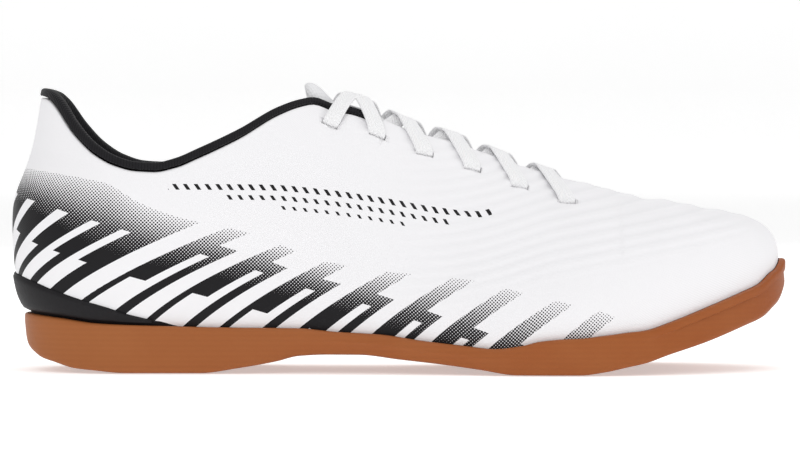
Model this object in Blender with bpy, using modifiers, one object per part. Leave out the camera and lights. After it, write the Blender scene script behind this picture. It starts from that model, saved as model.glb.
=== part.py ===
# Indoor soccer shoe for the right foot: a cup sole, and a hollow upper that stands in it.
# Metres. +X runs to the toe, +Y to the inner side of the foot, +Z up; the origin is on the floor.

import math

import bmesh
import bpy
import numpy as np
from mathutils import Matrix, Vector

# Driving dimensions of the whole shoe
LENGTH = 0.286
HEEL_OVERHANG = 0.0044
BALL_WIDTH = 0.100
HEEL_WIDTH = 0.069
HEEL_HEIGHT = 0.1037
COLLAR_DIP = 0.0765
COLLAR_FRONT = 0.1008
INSTEP_HEIGHT = 0.1016
TOE_HEIGHT = 0.0596

# Sole
RIM_HEIGHT = 0.0209
RIM_WALL = 0.0024
RIM_BEVEL = 0.0010
TOE_SPRING = 0.0316
ARCH_RISE = 0.0066
HEEL_BEVEL = 0.0142
HEEL_STACK = 0.0105
FOREFOOT_STACK = 0.0050
GROUND_EDGE = 0.0016
WAIST_TUCK = 0.0035
STEP_DROP = 0.0030
STEP_DEPTH = 0.0007
STEP_START = 0.80
STEP_FADE = 0.08
WALL_DRAFT = 0.0003
TUCK_ABOVE = 0.7
ARCH_ON_BED = 0.55
TREAD_DEPTH = 0.0012
TREAD_WIDTH = 0.0024
PIVOT_RADIUS = 0.0140
PIVOT_X = 0.280 * LENGTH
PIVOT_Y = 0.080 * BALL_WIDTH

# Upper
WALL = 0.0018
GAP = 0.0003
HEEL_BULGE = 0.0080
HEEL_FAN = 0.0350
TOE_FAN = 0.0310
FAN_SOFTNESS = 0.0200
TENT_ROUND = 0.15
BULGE_FADE = 0.25
EDGE_BLEND = 0.0012
THROAT_WIDTH = 0.0150
THROAT_END = 0.280 * LENGTH
EYELET_COUNT = 6
EYELET_TOP = -0.0899 * LENGTH
EYELET_PITCH = 0.0608 * LENGTH
EYELET_LENGTH = 0.0062
EYELET_WIDTH = 0.0024
EYELET_DROP_TOP = 0.0120
EYELET_DROP_LOW = 0.0092
EYELET_CUT = 0.0108

# Collar, tongue, insole, counter and lace
BAND_WIDTH = 0.0030
PAD_DEPTH = 0.0240
PAD_THICKNESS = 0.0050
COLLAR_END = -0.049 * LENGTH
BAND_PROUD = 0.0007
PAD_LEAST = 0.0004
TONGUE_THICKNESS = 0.0030
TONGUE_TOP = -0.1206 * LENGTH
TONGUE_FOOT = 0.325 * LENGTH
TONGUE_HALF_WIDTH = 0.0215
TONGUE_FREE = -0.0787 * LENGTH
TONGUE_SINK = 0.0010
TONGUE_LIFT = 0.0010
TONGUE_ROUND = 0.0110
TONGUE_FOOT_ROUND = 0.0100
TONGUE_TAPER = 0.25
TONGUE_MIDDLE = 0.20
TONGUE_BLEND = 0.27
INSOLE_THICKNESS = 0.0035
COUNTER_THICKNESS = 0.0008
COUNTER_HEIGHT = 0.0150
COUNTER_REACH = 0.0500
COUNTER_FOOT = 0.0012
COUNTER_LEAST = 0.0012
COUNTER_CLEAR = 0.0004
LACE_WIDTH = 0.0060
LACE_THICKNESS = 0.0012
LACE_CLEAR = 0.00045
LACE_LIFT = 0.0001
LACE_TUCK = 0.4
BAND_RUN = 0.0080

# Where the sole starts and ends
HEEL_X = -LENGTH / 2 + HEEL_OVERHANG
TOE_X = LENGTH / 2
SOLE_LENGTH = TOE_X - HEEL_X
UPPER_INSET = RIM_WALL + GAP

# Stations along one side, rows up the wall, and samples along a section
STATIONS = 40
ROWS = 13
SAMPLES = 160
ROW_EASE = 0.06
# distance over which slopes are read, and the steepest edge the binding follows
PROBE = 0.001
SLOPE_LIMIT = 2.0
PIVOT_SIDES = 24
TONGUE_STEPS = 18
LACE_STEPS = 14
COUNTER_ROWS = 3
SAME_POINT = 1e-6
SHARP_ANGLE = 35
CLOTH_ANGLE = 60

# share of sole length, centre and ridge in ball widths, heel part and ball part of the half width
OUTLINE = (
    (0.000, 0.0000, 0.000, 1.00, 0.000),
    (0.170, 0.0000, 0.000, 1.00, 0.000),
    (0.290, -0.0075, 0.000, 0.80, 0.125),
    (0.390, -0.0320, 0.000, 0.50, 0.310),
    (0.490, -0.0550, 0.000, 0.20, 0.550),
    (0.590, -0.0520, 0.010, 0.00, 0.820),
    (0.675, -0.0280, 0.020, 0.00, 0.950),
    (0.735, 0.0000, 0.030, 0.00, 1.000),
    (0.800, 0.0180, 0.040, 0.00, 0.990),
    (0.860, 0.0360, 0.050, 0.00, 0.960),
    (0.920, 0.0540, 0.060, 0.00, 0.910),
    (1.000, 0.0760, 0.070, 0.00, 0.820),
)
HEEL_ROUND = 0.15
HEEL_POWER = 2.0
TOE_ROUND = 0.27
TOE_POWER = 2.2

# share of sole length, underside in heel bevels
HEEL_CURVE = (
    (0.000, 1.00), (0.006, 0.66), (0.016, 0.48), (0.027, 0.35), (0.045, 0.25),
    (0.071, 0.11), (0.098, 0.06), (0.137, 0.00), (1.000, 0.00),
)
# share of sole length, underside in arch rises
ARCH_CURVE = (
    (0.000, 0.00), (0.236, 0.00), (0.282, 0.25), (0.334, 0.64), (0.361, 0.92),
    (0.400, 1.00), (0.439, 1.00), (0.492, 0.76), (0.544, 0.53), (0.595, 0.26),
    (0.641, 0.00), (1.000, 0.00),
)
# share of sole length, underside in toe springs
SPRING_CURVE = (
    (0.000, 0.000), (0.722, 0.000), (0.755, 0.035), (0.780, 0.082), (0.807, 0.133),
    (0.833, 0.212), (0.886, 0.358), (0.938, 0.530), (0.965, 0.627), (0.978, 0.720),
    (0.988, 0.800), (0.996, 0.920), (1.000, 1.000),
)
# share of sole length, rim in rim heights above the toe spring
RIM_CURVE = (
    (0.000, 1.000), (0.050, 0.940), (0.100, 0.860), (0.180, 0.820), (0.280, 0.790),
    (0.360, 0.780), (0.410, 0.720), (0.465, 0.680), (0.520, 0.575), (0.570, 0.500),
    (0.610, 0.450), (0.645, 0.500), (0.670, 0.580), (0.700, 0.620), (0.740, 0.636),
    (0.780, 0.600), (0.830, 0.540), (0.900, 0.580), (0.980, 0.575), (1.000, 0.430),
)
# share of sole length, heel part of the footbed's height
STACK_CURVE = ((0.00, 1.0), (0.25, 1.0), (0.60, 0.0), (1.00, 0.0))

# share of sole length, ridge in heel heights, in instep heights and in toe heights
RIDGE = (
    (0.000, 1.255, 0.000, 0.000),
    (0.135, 1.235, 0.000, 0.000),
    (0.280, 0.700, 0.425, 0.000),
    (0.375, 0.130, 0.907, 0.000),
    (0.414, 0.000, 1.000, 0.000),
    (0.492, 0.000, 0.922, 0.000),
    (0.570, 0.000, 0.780, 0.117),
    (0.650, 0.000, 0.480, 0.477),
    (0.702, 0.000, 0.260, 0.765),
    (0.755, 0.000, 0.100, 0.970),
    (0.833, 0.000, 0.000, 1.047),
    (0.890, 0.000, 0.000, 1.000),
    (0.940, 0.000, 0.000, 0.964),
    (1.000, 0.000, 0.000, 0.920),
)
# share of sole length, side power, top power, tent share of the section, bulge in heel bulges
SECTION = (
    (0.000, 5.0, 2.0, 0.00, 1.00),
    (0.100, 4.0, 2.0, 0.00, 0.62),
    (0.200, 3.2, 2.0, 0.00, 0.36),
    (0.360, 2.3, 2.0, 0.18, 0.24),
    (0.480, 2.1, 2.0, 0.36, 0.18),
    (0.650, 2.2, 2.0, 0.43, 0.18),
    (0.780, 2.6, 2.2, 0.20, 0.16),
    (0.900, 3.4, 2.4, 0.04, 0.06),
    (1.000, 4.0, 2.5, 0.00, 0.00),
)
# share of the wall's height above the rim, share of the bulge
BULGE_CURVE = (
    (0.00, 0.00), (0.04, 0.36), (0.10, 0.62), (0.17, 0.77), (0.24, 0.87), (0.33, 0.94),
    (0.42, 0.99), (0.48, 0.98), (0.54, 0.85), (0.63, 0.55), (0.74, 0.27), (0.85, 0.16),
    (1.00, 0.12),
)
# share of sole length, rise above the collar's dip towards the heel, and towards the throat
COLLAR = (
    (0.000, 1.000, 0.00),
    (0.024, 1.000, 0.00),
    (0.036, 0.970, 0.00),
    (0.046, 0.890, 0.00),
    (0.071, 0.555, 0.00),
    (0.098, 0.267, 0.00),
    (0.123, 0.104, 0.00),
    (0.151, 0.015, 0.00),
    (0.176, 0.000, 0.00),
    (0.203, 0.000, 0.07),
    (0.229, 0.000, 0.20),
    (0.283, 0.000, 0.50),
    (0.334, 0.000, 0.84),
    (0.361, 0.000, 0.95),
    (0.386, 0.000, 1.00),
    (1.000, 0.000, 1.00),
)
# share of sole length, half gap of the throat in throat widths
THROAT = ((0.00, 0.50), (0.40, 0.50), (0.60, 0.46), (0.74, 0.38), (1.00, 0.38))
# share of sole length, depth and thickness of the collar's pad
PAD = (
    (0.00, 1.00, 1.00), (0.24, 0.90, 1.00), (0.34, 0.45, 0.80), (0.40, 0.25, 0.62), (1.00, 0.25, 0.62),
)
# share of the counter's reach from the heel, share of its height above the rim
COUNTER = (
    (0.00, 1.00), (0.14, 0.84), (0.29, 0.67), (0.45, 0.55), (0.62, 0.43), (0.78, 0.28), (1.00, 0.12),
)
# down from the collar's edge in band widths, out from the upper in pad thicknesses
BINDING = ((1.00, 0.04), (0.62, 0.11), (0.22, 0.07), (0.03, -0.10), (0.00, -0.36), (0.16, -0.66))
# down the pad's depth as a share, in from the upper in pad thicknesses
PAD_FACE = ((0.10, 0.90), (0.26, 1.00), (0.55, 0.94), (0.82, 0.74), (1.00, 0.52))
PAD_BACK = (1.00, 0.78, 0.56, 0.34)
# points across the tongue in half widths
TONGUE_ACROSS = (-1.0, -0.72, -0.5, -0.36, -0.2, 0.0, 0.2, 0.36, 0.5, 0.72, 1.0)

# tread grooves across the sole: share of sole length
TREAD_ROWS = (0.075, 0.112, 0.150, 0.225, 0.262, 0.575, 0.612, 0.650, 0.805, 0.842, 0.880)
TREAD_REACH = 0.70


def table(rows, column):
    """Monotone cubic through the first column and the one named by its number."""
    xs = np.array([row[0] for row in rows])
    ys = np.array([row[column] for row in rows])
    step = np.diff(xs)
    slope = np.diff(ys) / step
    tangent = np.zeros(len(xs))
    for i in range(1, len(xs) - 1):
        if slope[i - 1] * slope[i] > 0:
            before = 2 * step[i] + step[i - 1]
            after = step[i] + 2 * step[i - 1]
            tangent[i] = (before + after) / (before / slope[i - 1] + after / slope[i])
    tangent[0] = slope[0]
    tangent[-1] = slope[-1]

    def value(at):
        at = np.clip(at, xs[0], xs[-1])
        i = np.clip(np.searchsorted(xs, at, side="right") - 1, 0, len(step) - 1)
        t = (at - xs[i]) / step[i]
        rise = ys[i] * (1 + 2 * t) * (1 - t) ** 2 + ys[i + 1] * t * t * (3 - 2 * t)
        turn = tangent[i] * t * (1 - t) ** 2 - tangent[i + 1] * t * t * (1 - t)
        return rise + step[i] * turn

    return value


centre_of = table(OUTLINE, 1)
ridge_of = table(OUTLINE, 2)
heel_part = table(OUTLINE, 3)
ball_part = table(OUTLINE, 4)
heel_curve = table(HEEL_CURVE, 1)
arch_curve = table(ARCH_CURVE, 1)
spring_curve = table(SPRING_CURVE, 1)
rim_curve = table(RIM_CURVE, 1)
stack_curve = table(STACK_CURVE, 1)
ridge_heel = table(RIDGE, 1)
ridge_instep = table(RIDGE, 2)
ridge_toe = table(RIDGE, 3)
side_power = table(SECTION, 1)
top_power = table(SECTION, 2)
tent_share = table(SECTION, 3)
bulge_share = table(SECTION, 4)
bulge_curve = table(BULGE_CURVE, 1)
collar_back = table(COLLAR, 1)
collar_fore = table(COLLAR, 2)
throat_half = table(THROAT, 1)
pad_depth = table(PAD, 1)
pad_share = table(PAD, 2)
counter_share = table(COUNTER, 1)


def share(x):
    return np.clip((x - HEEL_X) / SOLE_LENGTH, 0.0, 1.0)


def half_width(s):
    half = (heel_part(s) * HEEL_WIDTH + ball_part(s) * BALL_WIDTH) / 2
    if s < HEEL_ROUND:
        half *= (1 - (1 - s / HEEL_ROUND) ** HEEL_POWER) ** (1 / HEEL_POWER)
    if s > 1 - TOE_ROUND:
        half *= max(0.0, 1 - ((s - 1 + TOE_ROUND) / TOE_ROUND) ** TOE_POWER) ** (1 / TOE_POWER)
    return half


def ground(x):
    """Underside of the sole."""
    s = share(x)
    return HEEL_BEVEL * heel_curve(s) + ARCH_RISE * arch_curve(s) + TOE_SPRING * spring_curve(s)


def rim(x):
    s = share(x)
    return RIM_HEIGHT * rim_curve(s) + TOE_SPRING * spring_curve(s)


def bed(x):
    """Footbed inside the cup."""
    s = share(x)
    stack = FOREFOOT_STACK + (HEEL_STACK - FOREFOOT_STACK) * stack_curve(s)
    return stack + ARCH_ON_BED * ARCH_RISE * arch_curve(s) + TOE_SPRING * spring_curve(s)


def ridge_y(x):
    return BALL_WIDTH * ridge_of(share(x))


def ridge_z(x):
    """Height of the upper's ridge, carried on over the open collar as a guide."""
    s = share(x)
    return HEEL_HEIGHT * ridge_heel(s) + INSTEP_HEIGHT * ridge_instep(s) + TOE_HEIGHT * ridge_toe(s)


def collar_z(x):
    s = share(x)
    back = (HEEL_HEIGHT - COLLAR_DIP) * collar_back(s)
    return COLLAR_DIP + back + (COLLAR_FRONT - COLLAR_DIP) * collar_fore(s)


def spine_x(x):
    """Where the section that starts at x ends on the ridge; both ends fan in to one place."""
    toe_start = TOE_X - TOE_FAN - FAN_SOFTNESS
    heel_start = HEEL_X + HEEL_FAN + FAN_SOFTNESS
    if x > toe_start:
        run = TOE_FAN + FAN_SOFTNESS
        return toe_start + FAN_SOFTNESS * (1 - (1 - (x - toe_start) / run) ** (run / FAN_SOFTNESS))
    if x < heel_start:
        run = HEEL_FAN + FAN_SOFTNESS
        return heel_start - FAN_SOFTNESS * (1 - (1 - (heel_start - x) / run) ** (run / FAN_SOFTNESS))
    return x


def side_loop():
    """Outline of the sole: heel, lateral side, toe, medial side, with outward normals."""
    middle = (HEEL_X + TOE_X) / 2
    points = []
    for i in range(2 * STATIONS):
        x = middle - SOLE_LENGTH / 2 * math.cos(math.pi * i / STATIONS)
        s = share(x)
        sign = -1 if i < STATIONS else 1
        half = 0.0 if i % STATIONS == 0 else half_width(s)
        points.append((x, centre_of(s) * BALL_WIDTH + sign * half))
    points = np.array(points)
    along = np.roll(points, -1, axis=0) - np.roll(points, 1, axis=0)
    along /= np.linalg.norm(along, axis=1)[:, None]
    normals = np.column_stack([along[:, 1], -along[:, 0]])
    return points, normals


OUTER, OUTWARD = side_loop()
LOOP = len(OUTER)


def inset(i, distance):
    return OUTER[i] - OUTWARD[i] * distance


def section_height(r, x, s, base):
    """Height of the upper's section at r, the share of the way from the ridge to the side."""
    round_part = max(0.0, 1 - r ** side_power(s)) ** (1 / top_power(s))
    tent = 1 - (math.hypot(r, TENT_ROUND) - TENT_ROUND) / (math.hypot(1.0, TENT_ROUND) - TENT_ROUND)
    mix = tent_share(s)
    return base + (ridge_z(x) - base) * ((1 - mix) * round_part + mix * tent)


def section(i):
    """Points up the wall from the rim to the ridge at station i, and the arc length at each."""
    foot = inset(i, UPPER_INSET)
    s = share(OUTER[i][0])
    base = rim(OUTER[i][0])
    top_x = spine_x(OUTER[i][0])
    top = np.array([top_x, ridge_y(top_x)])
    reach = foot - top
    out = reach / np.linalg.norm(reach)
    points = []
    for k in range(SAMPLES + 1):
        v = 1 - (1 - k / SAMPLES) ** 2
        r = max(0.0, math.cos(math.pi * v / 2)) ** (2 / side_power(s))
        if k == SAMPLES:
            r = 0.0
        flat = top + reach * r
        z = section_height(r, flat[0], s, base)
        crown = min(HEEL_HEIGHT, ridge_z(flat[0]))
        lift = (z - base) / (crown - base)
        swell = HEEL_BULGE * bulge_share(s) * bulge_curve(lift) * min(1.0, r / BULGE_FADE)
        points.append((*(flat + out * swell), z))
    points = np.array(points)
    arcs = np.concatenate([[0.0], np.cumsum(np.linalg.norm(np.diff(points, axis=0), axis=1))])
    return points, arcs, out


SECTIONS = [section(i) for i in range(LOOP)]


def on_section(i, arc):
    """Point and outward normal of the upper at an arc length up section i."""
    points, arcs, out = SECTIONS[i]

    def at(distance):
        return np.array([np.interp(distance, arcs, points[:, c]) for c in range(3)])

    before = at(max(arc - PROBE, 0.0))
    after = at(min(arc + PROBE, arcs[-1]))
    along = (after - before) / np.linalg.norm(after - before)
    sideways = along[0] * out[0] + along[1] * out[1]
    normal = np.array([out[0] * along[2], out[1] * along[2], -sideways])
    return at(arc), normal / np.linalg.norm(normal)


def arc_where(i, values, level):
    """Arc length at which values first rises through a level along section i."""
    arcs = SECTIONS[i][1]
    over = np.nonzero(values >= level)[0]
    if len(over) == 0:
        return arcs[-1]
    k = over[0]
    if k == 0:
        return 0.0
    t = (level - values[k - 1]) / (values[k] - values[k - 1])
    return arcs[k - 1] + t * (arcs[k] - arcs[k - 1])


def edge_arc(i):
    """Arc length at which the upper and its binding end: at the collar, the throat or the ridge."""
    points, arcs, _ = SECTIONS[i]
    x = spine_x(OUTER[i][0])
    if x > THROAT_END:
        return arcs[-1]
    line = np.array([collar_z(px) for px in points[:, 0]])
    at_collar = arc_where(i, points[:, 2] - line, 0.0)
    centre = np.array([x, ridge_y(x)])
    inward = -np.linalg.norm(points[:, :2] - centre, axis=1)
    at_throat = arc_where(i, inward, -THROAT_WIDTH * throat_half(share(x)))
    low = min(at_collar, at_throat)
    near = math.exp(-(at_collar - low) / EDGE_BLEND) + math.exp(-(at_throat - low) / EDGE_BLEND)
    return low - EDGE_BLEND * math.log(near)


EDGES = np.array([edge_arc(i) for i in range(LOOP)])


def slope_factor(i):
    """How much longer a step down the wall is than a step square to the edge."""
    ends = [on_section(j % LOOP, EDGES[j % LOOP])[0] for j in (i - 1, i + 1)]
    run = np.linalg.norm(ends[1][:2] - ends[0][:2])
    return min(SLOPE_LIMIT, math.hypot(1.0, (ends[1][2] - ends[0][2]) / run))


def collar_stations():
    """Stations that carry the binding, from the medial throat round the heel to the lateral one."""
    last = max(k for k in range(STATIONS) if spine_x(OUTER[k][0]) <= COLLAR_END)
    return [(LOOP - k) % LOOP for k in range(last, 0, -1)] + list(range(last + 1))


COLLAR_AT = collar_stations()


def material(name, colour, roughness):
    made = bpy.data.materials.new(name)
    made.use_nodes = True
    shader = made.node_tree.nodes["Principled BSDF"]
    shader.inputs["Base Color"].default_value = (*colour, 1.0)
    shader.inputs["Roughness"].default_value = roughness
    made.diffuse_color = (*colour, 1.0)
    return made


def add_object(name, bm, collection, look, smooth=SHARP_ANGLE):
    mesh = bpy.data.meshes.new(name)
    bm.to_mesh(mesh)
    bm.free()
    made = bpy.data.objects.new(name, mesh)
    collection.objects.link(made)
    if look:
        mesh.materials.append(look)
        mesh.shade_smooth()
        mesh.set_sharp_from_angle(angle=math.radians(smooth))
    return made


def loft(rows, closed_rows=False, caps=False):
    """Quads between rows of points; rows may close on themselves, ends may be capped."""
    bm = bmesh.new()
    grid = [[bm.verts.new(tuple(point)) for point in row] for row in rows]
    width = len(rows[0])
    for a, b in zip(grid, grid[1:]):
        for j in range(width if closed_rows else width - 1):
            k = (j + 1) % width
            bm.faces.new((a[j], a[k], b[k], b[j]))
    if caps:
        bm.faces.new(grid[0])
        bm.faces.new(grid[-1])
    return bm


def weld(bm):
    bmesh.ops.remove_doubles(bm, verts=bm.verts, dist=SAME_POINT)
    bmesh.ops.recalc_face_normals(bm, faces=bm.faces)
    return bm


def span(ring, spans, height):
    """Faces from side to side across a ring of points, at the height of a function of x."""
    rows = []
    for k in range(STATIONS + 1):
        near = ring[k]
        far = ring[(LOOP - k) % LOOP]
        row = []
        for j in range(spans + 1):
            flat = near + (far - near) * j / spans
            row.append((flat[0], flat[1], height(flat[0])))
        rows.append(row)
    return rows


def join_grids(grids):
    """One closed body from grids of points that share their edges."""
    bm = bmesh.new()
    for rows in grids:
        made = [[bm.verts.new(tuple(point)) for point in row] for row in rows]
        for a, b in zip(made, made[1:]):
            for j in range(len(a) - 1):
                bm.faces.new((a[j], a[j + 1], b[j + 1], b[j]))
    return weld(bm)


def ring_grid(rings):
    """Rings of points round the loop as a grid that meets itself at the heel."""
    return [list(ring) + [ring[0]] for ring in rings]


def cut(target, cutter):
    modifier = target.modifiers.new("cut_" + cutter.name, "BOOLEAN")
    modifier.operation = "DIFFERENCE"
    modifier.solver = "EXACT"
    modifier.object = cutter


def as_cutter(cutter):
    cutter.hide_render = True
    cutter.display_type = "WIRE"
    return cutter


def along_ground(x):
    """Turn that lays a cutter along the underside at x."""
    return Matrix.Rotation(-math.atan((ground(x + PROBE) - ground(x - PROBE)) / (2 * PROBE)), 4, "Y")


def tread_cutter(collection):
    """The grooves across heel and forefoot as one cutter."""
    bm = bmesh.new()
    for s in TREAD_ROWS:
        x = HEEL_X + s * SOLE_LENGTH
        size = Matrix.Diagonal((TREAD_WIDTH, 2 * half_width(s) * TREAD_REACH, 2 * TREAD_DEPTH, 1.0))
        place = Matrix.Translation((x, centre_of(s) * BALL_WIDTH, ground(x)))
        bmesh.ops.create_cube(bm, size=1.0, matrix=place @ along_ground(x) @ size)
    return as_cutter(add_object("tread_cutter", bm, collection, None))


def pivot_cutter(collection):
    """The ring under the ball that the foot turns on."""
    place = Vector((PIVOT_X, PIVOT_Y, ground(PIVOT_X)))
    turn = along_ground(PIVOT_X)
    profile = (
        (PIVOT_RADIUS - TREAD_WIDTH / 2, -2 * TREAD_DEPTH),
        (PIVOT_RADIUS + TREAD_WIDTH / 2, -2 * TREAD_DEPTH),
        (PIVOT_RADIUS + TREAD_WIDTH / 2, TREAD_DEPTH),
        (PIVOT_RADIUS - TREAD_WIDTH / 2, TREAD_DEPTH),
    )
    rows = []
    for k in range(PIVOT_SIDES + 1):
        angle = 2 * math.pi * k / PIVOT_SIDES
        row = [turn @ Vector((r * math.cos(angle), r * math.sin(angle), z)) + place for r, z in profile]
        rows.append(row)
    bm = weld(loft(rows, closed_rows=True))
    return as_cutter(add_object("pivot_cutter", bm, collection, None))


def make_outsole(collection, cutters):
    """Cup sole: underside, side wall with its step, rim, inner wall and footbed."""

    def ring(distance, height):
        points = []
        for i in range(LOOP):
            away = distance(share(OUTER[i][0]))
            flat = inset(i, away)
            points.append((flat[0], flat[1], height(flat[0], OUTER[i][0])))
        return points

    def tuck(s):
        return WAIST_TUCK * arch_curve(s)

    def step(s):
        return STEP_DEPTH * min(1.0, max(0.0, (s - STEP_START) / STEP_FADE))

    rings = (
        ring(lambda s: GROUND_EDGE + tuck(s), lambda x, edge: ground(x)),
        ring(lambda s: WALL_DRAFT + TUCK_ABOVE * tuck(s), lambda x, edge: ground(x) + GROUND_EDGE),
        ring(step, lambda x, edge: rim(edge) - STEP_DROP - STEP_DEPTH / 2),
        ring(lambda s: 0.0, lambda x, edge: rim(edge) - STEP_DROP),
        ring(lambda s: 0.0, lambda x, edge: rim(edge) - RIM_BEVEL),
        ring(lambda s: RIM_BEVEL, lambda x, edge: rim(edge)),
        ring(lambda s: RIM_WALL, lambda x, edge: rim(edge)),
        ring(lambda s: RIM_WALL, lambda x, edge: bed(x)),
    )
    under = span([np.array(point[:2]) for point in rings[0]], 6, ground)
    floor = span([np.array(point[:2]) for point in rings[-1]], 4, bed)
    bm = join_grids((under, ring_grid(rings), floor))
    sole = add_object("outsole", bm, collection, material("gum_rubber", (0.33, 0.14, 0.05), 0.55))
    cut(sole, tread_cutter(cutters))
    cut(sole, pivot_cutter(cutters))
    return sole


def upper_top(i):
    """Arc length at the upper's edge: under the binding, or at the throat and ridge."""
    if i in COLLAR_AT:
        return EDGES[i] - (BAND_WIDTH + 2 * GAP) * slope_factor(i)
    return EDGES[i]


def section_stations(x, side):
    """The two stations round x on one side, and how far x lies between them."""
    k = max(j for j in range(STATIONS) if OUTER[j][0] <= x)
    t = (x - OUTER[k][0]) / (OUTER[k + 1][0] - OUTER[k][0])
    if side > 0:
        return (LOOP - k) % LOOP, LOOP - k - 1, t
    return k, k + 1, t


def point_across(x, across):
    """Point of the upper at x and a distance across from its ridge."""
    a, b, t = section_stations(x, across)
    found = []
    for i in (a, b):
        top_x = spine_x(OUTER[i][0])
        centre = np.array([top_x, ridge_y(top_x)])
        inward = -np.linalg.norm(SECTIONS[i][0][:, :2] - centre, axis=1)
        found.append(on_section(i, arc_where(i, inward, -abs(across)))[0])
    return Vector(found[0] * (1 - t) + found[1] * t)


def surface_across(x, across):
    """Point and true normal of the upper at x and a distance across from its ridge."""
    along = point_across(x + PROBE, across) - point_across(x - PROBE, across)
    side = 1 if across > 0 else -1
    over = point_across(x, across + side * PROBE) - point_across(x, across)
    return point_across(x, across), (along.cross(over) * side).normalized()


def eyelet_place(k, side):
    """Distance of an eyelet slot along the shoe and across from the ridge, from its drop below it."""
    x = EYELET_TOP + k * EYELET_PITCH
    drop = EYELET_DROP_TOP + (EYELET_DROP_LOW - EYELET_DROP_TOP) * k / (EYELET_COUNT - 1)
    a, b, t = section_stations(x, side)
    across = 0.0
    for i, part in ((a, 1 - t), (b, t)):
        points = SECTIONS[i][0]
        place = on_section(i, arc_where(i, points[:, 2], points[-1, 2] - drop))[0]
        across += part * math.hypot(place[0] - points[-1, 0], place[1] - points[-1, 1])
    return x, side * across


def eyelet_cutter(collection):
    """All slots for the lace as one cutter."""
    bm = bmesh.new()
    size = Matrix.Diagonal((EYELET_LENGTH, EYELET_WIDTH, EYELET_CUT, 1.0))
    for side in (-1, 1):
        for k in range(EYELET_COUNT):
            x, across = eyelet_place(k, side)
            point, normal = surface_across(x, across)
            along = point_across(x + EYELET_LENGTH / 2, across) - point
            sideways = normal.cross(along).normalized()
            along = sideways.cross(normal).normalized()
            turn = Matrix((along, sideways, normal)).transposed().to_4x4()
            bmesh.ops.create_cube(bm, size=1.0, matrix=Matrix.Translation(point) @ turn @ size)
    return as_cutter(add_object("eyelet_cutter", bm, collection, None))


def make_upper(collection, cutters):
    """Hollow shell from the footbed to collar, throat and toe, open underneath."""
    columns = []
    for i in list(range(LOOP)) + [0]:
        foot = inset(i, UPPER_INSET)
        top = upper_top(i)
        low = bed(foot[0]) + GAP
        column = [np.array([foot[0], foot[1], low])]
        for j in range(ROWS):
            t = j / (ROWS - 1)
            column.append(on_section(i, top * (t - ROW_EASE * math.sin(2 * math.pi * t)))[0])
        columns.append(column)
    bm = weld(loft(columns))
    look = material("upper_knit", (0.86, 0.86, 0.88), 0.7)
    upper = add_object("upper", bm, collection, look, CLOTH_ANGLE)
    wall = upper.modifiers.new("wall", "SOLIDIFY")
    wall.thickness = WALL
    wall.offset = -1.0
    wall.use_even_offset = True
    cut(upper, eyelet_cutter(cutters))
    return upper


def make_collar(collection):
    """Knit binding over the upper's edge, and the pad under it, swept round the opening."""
    columns = []
    for i in COLLAR_AT:
        s = share(OUTER[i][0])
        scale = slope_factor(i)
        depth = PAD_DEPTH * pad_depth(s)
        thick = PAD_THICKNESS * pad_share(s)
        behind = WALL + 2 * GAP
        column = []
        for down, out in BINDING:
            offset = out * PAD_THICKNESS if out > 0 else out * thick
            point, normal = on_section(i, EDGES[i] - down * BAND_WIDTH * scale)
            column.append(point + normal * offset)
        for down, inward in PAD_FACE:
            point, normal = on_section(i, EDGES[i] - down * depth)
            column.append(point - normal * max(inward * thick, behind + PAD_LEAST))
        for down in PAD_BACK:
            point, normal = on_section(i, EDGES[i] - down * depth)
            column.append(point - normal * behind)
        point, normal = on_section(i, EDGES[i] - BAND_WIDTH * scale)
        column.append(point - normal * behind)
        columns.append(column)
    bm = weld(loft(columns, closed_rows=True, caps=True))
    look = material("collar_knit", (0.02, 0.02, 0.024), 0.9)
    return add_object("collar", bm, collection, look, CLOTH_ANGLE)


def make_counter(collection):
    """Thin wedge round the foot of the heel, on the upper."""
    last = max(k for k in range(STATIONS) if OUTER[k][0] - HEEL_X <= COUNTER_REACH)
    columns = []
    for i in [(LOOP - k) % LOOP for k in range(last, 0, -1)] + list(range(last + 1)):
        points = SECTIONS[i][0]
        base = rim(OUTER[i][0])
        top = base + COUNTER_HEIGHT * counter_share((OUTER[i][0] - HEEL_X) / COUNTER_REACH)
        low = base + COUNTER_FOOT
        column = []
        for j in range(COUNTER_ROWS + 1):
            z = low + max(top - low, COUNTER_LEAST) * j / COUNTER_ROWS
            point, normal = on_section(i, arc_where(i, points[:, 2], z))
            column.append(point + normal * COUNTER_CLEAR)
        columns.append(column)
    bm = weld(loft(columns))
    look = material("heel_print", (0.02, 0.02, 0.02), 0.5)
    counter = add_object("heel_counter", bm, collection, look, CLOTH_ANGLE)
    wall = counter.modifiers.new("wall", "SOLIDIFY")
    wall.thickness = COUNTER_THICKNESS
    wall.offset = 1.0
    wall.use_even_offset = True
    return counter


def smooth_step(value, start, run):
    t = min(1.0, max(0.0, (value - start) / run))
    return t * t * (3 - 2 * t)


def tongue_drop(x, across):
    """Depth of the tongue's outer face under the upper's; its top stands free in the collar."""
    under = WALL + LACE_THICKNESS + 3 * GAP
    free = smooth_step(TONGUE_FREE - x, 0.0, TONGUE_FREE - TONGUE_TOP)
    middle = 1 - smooth_step(abs(across), THROAT_WIDTH * TONGUE_MIDDLE, THROAT_WIDTH * TONGUE_BLEND)
    return under - (under + TONGUE_LIFT) * free * middle


def tongue_point(x, across):
    point, normal = surface_across(x, across)
    return point - normal * tongue_drop(x, across)


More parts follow.
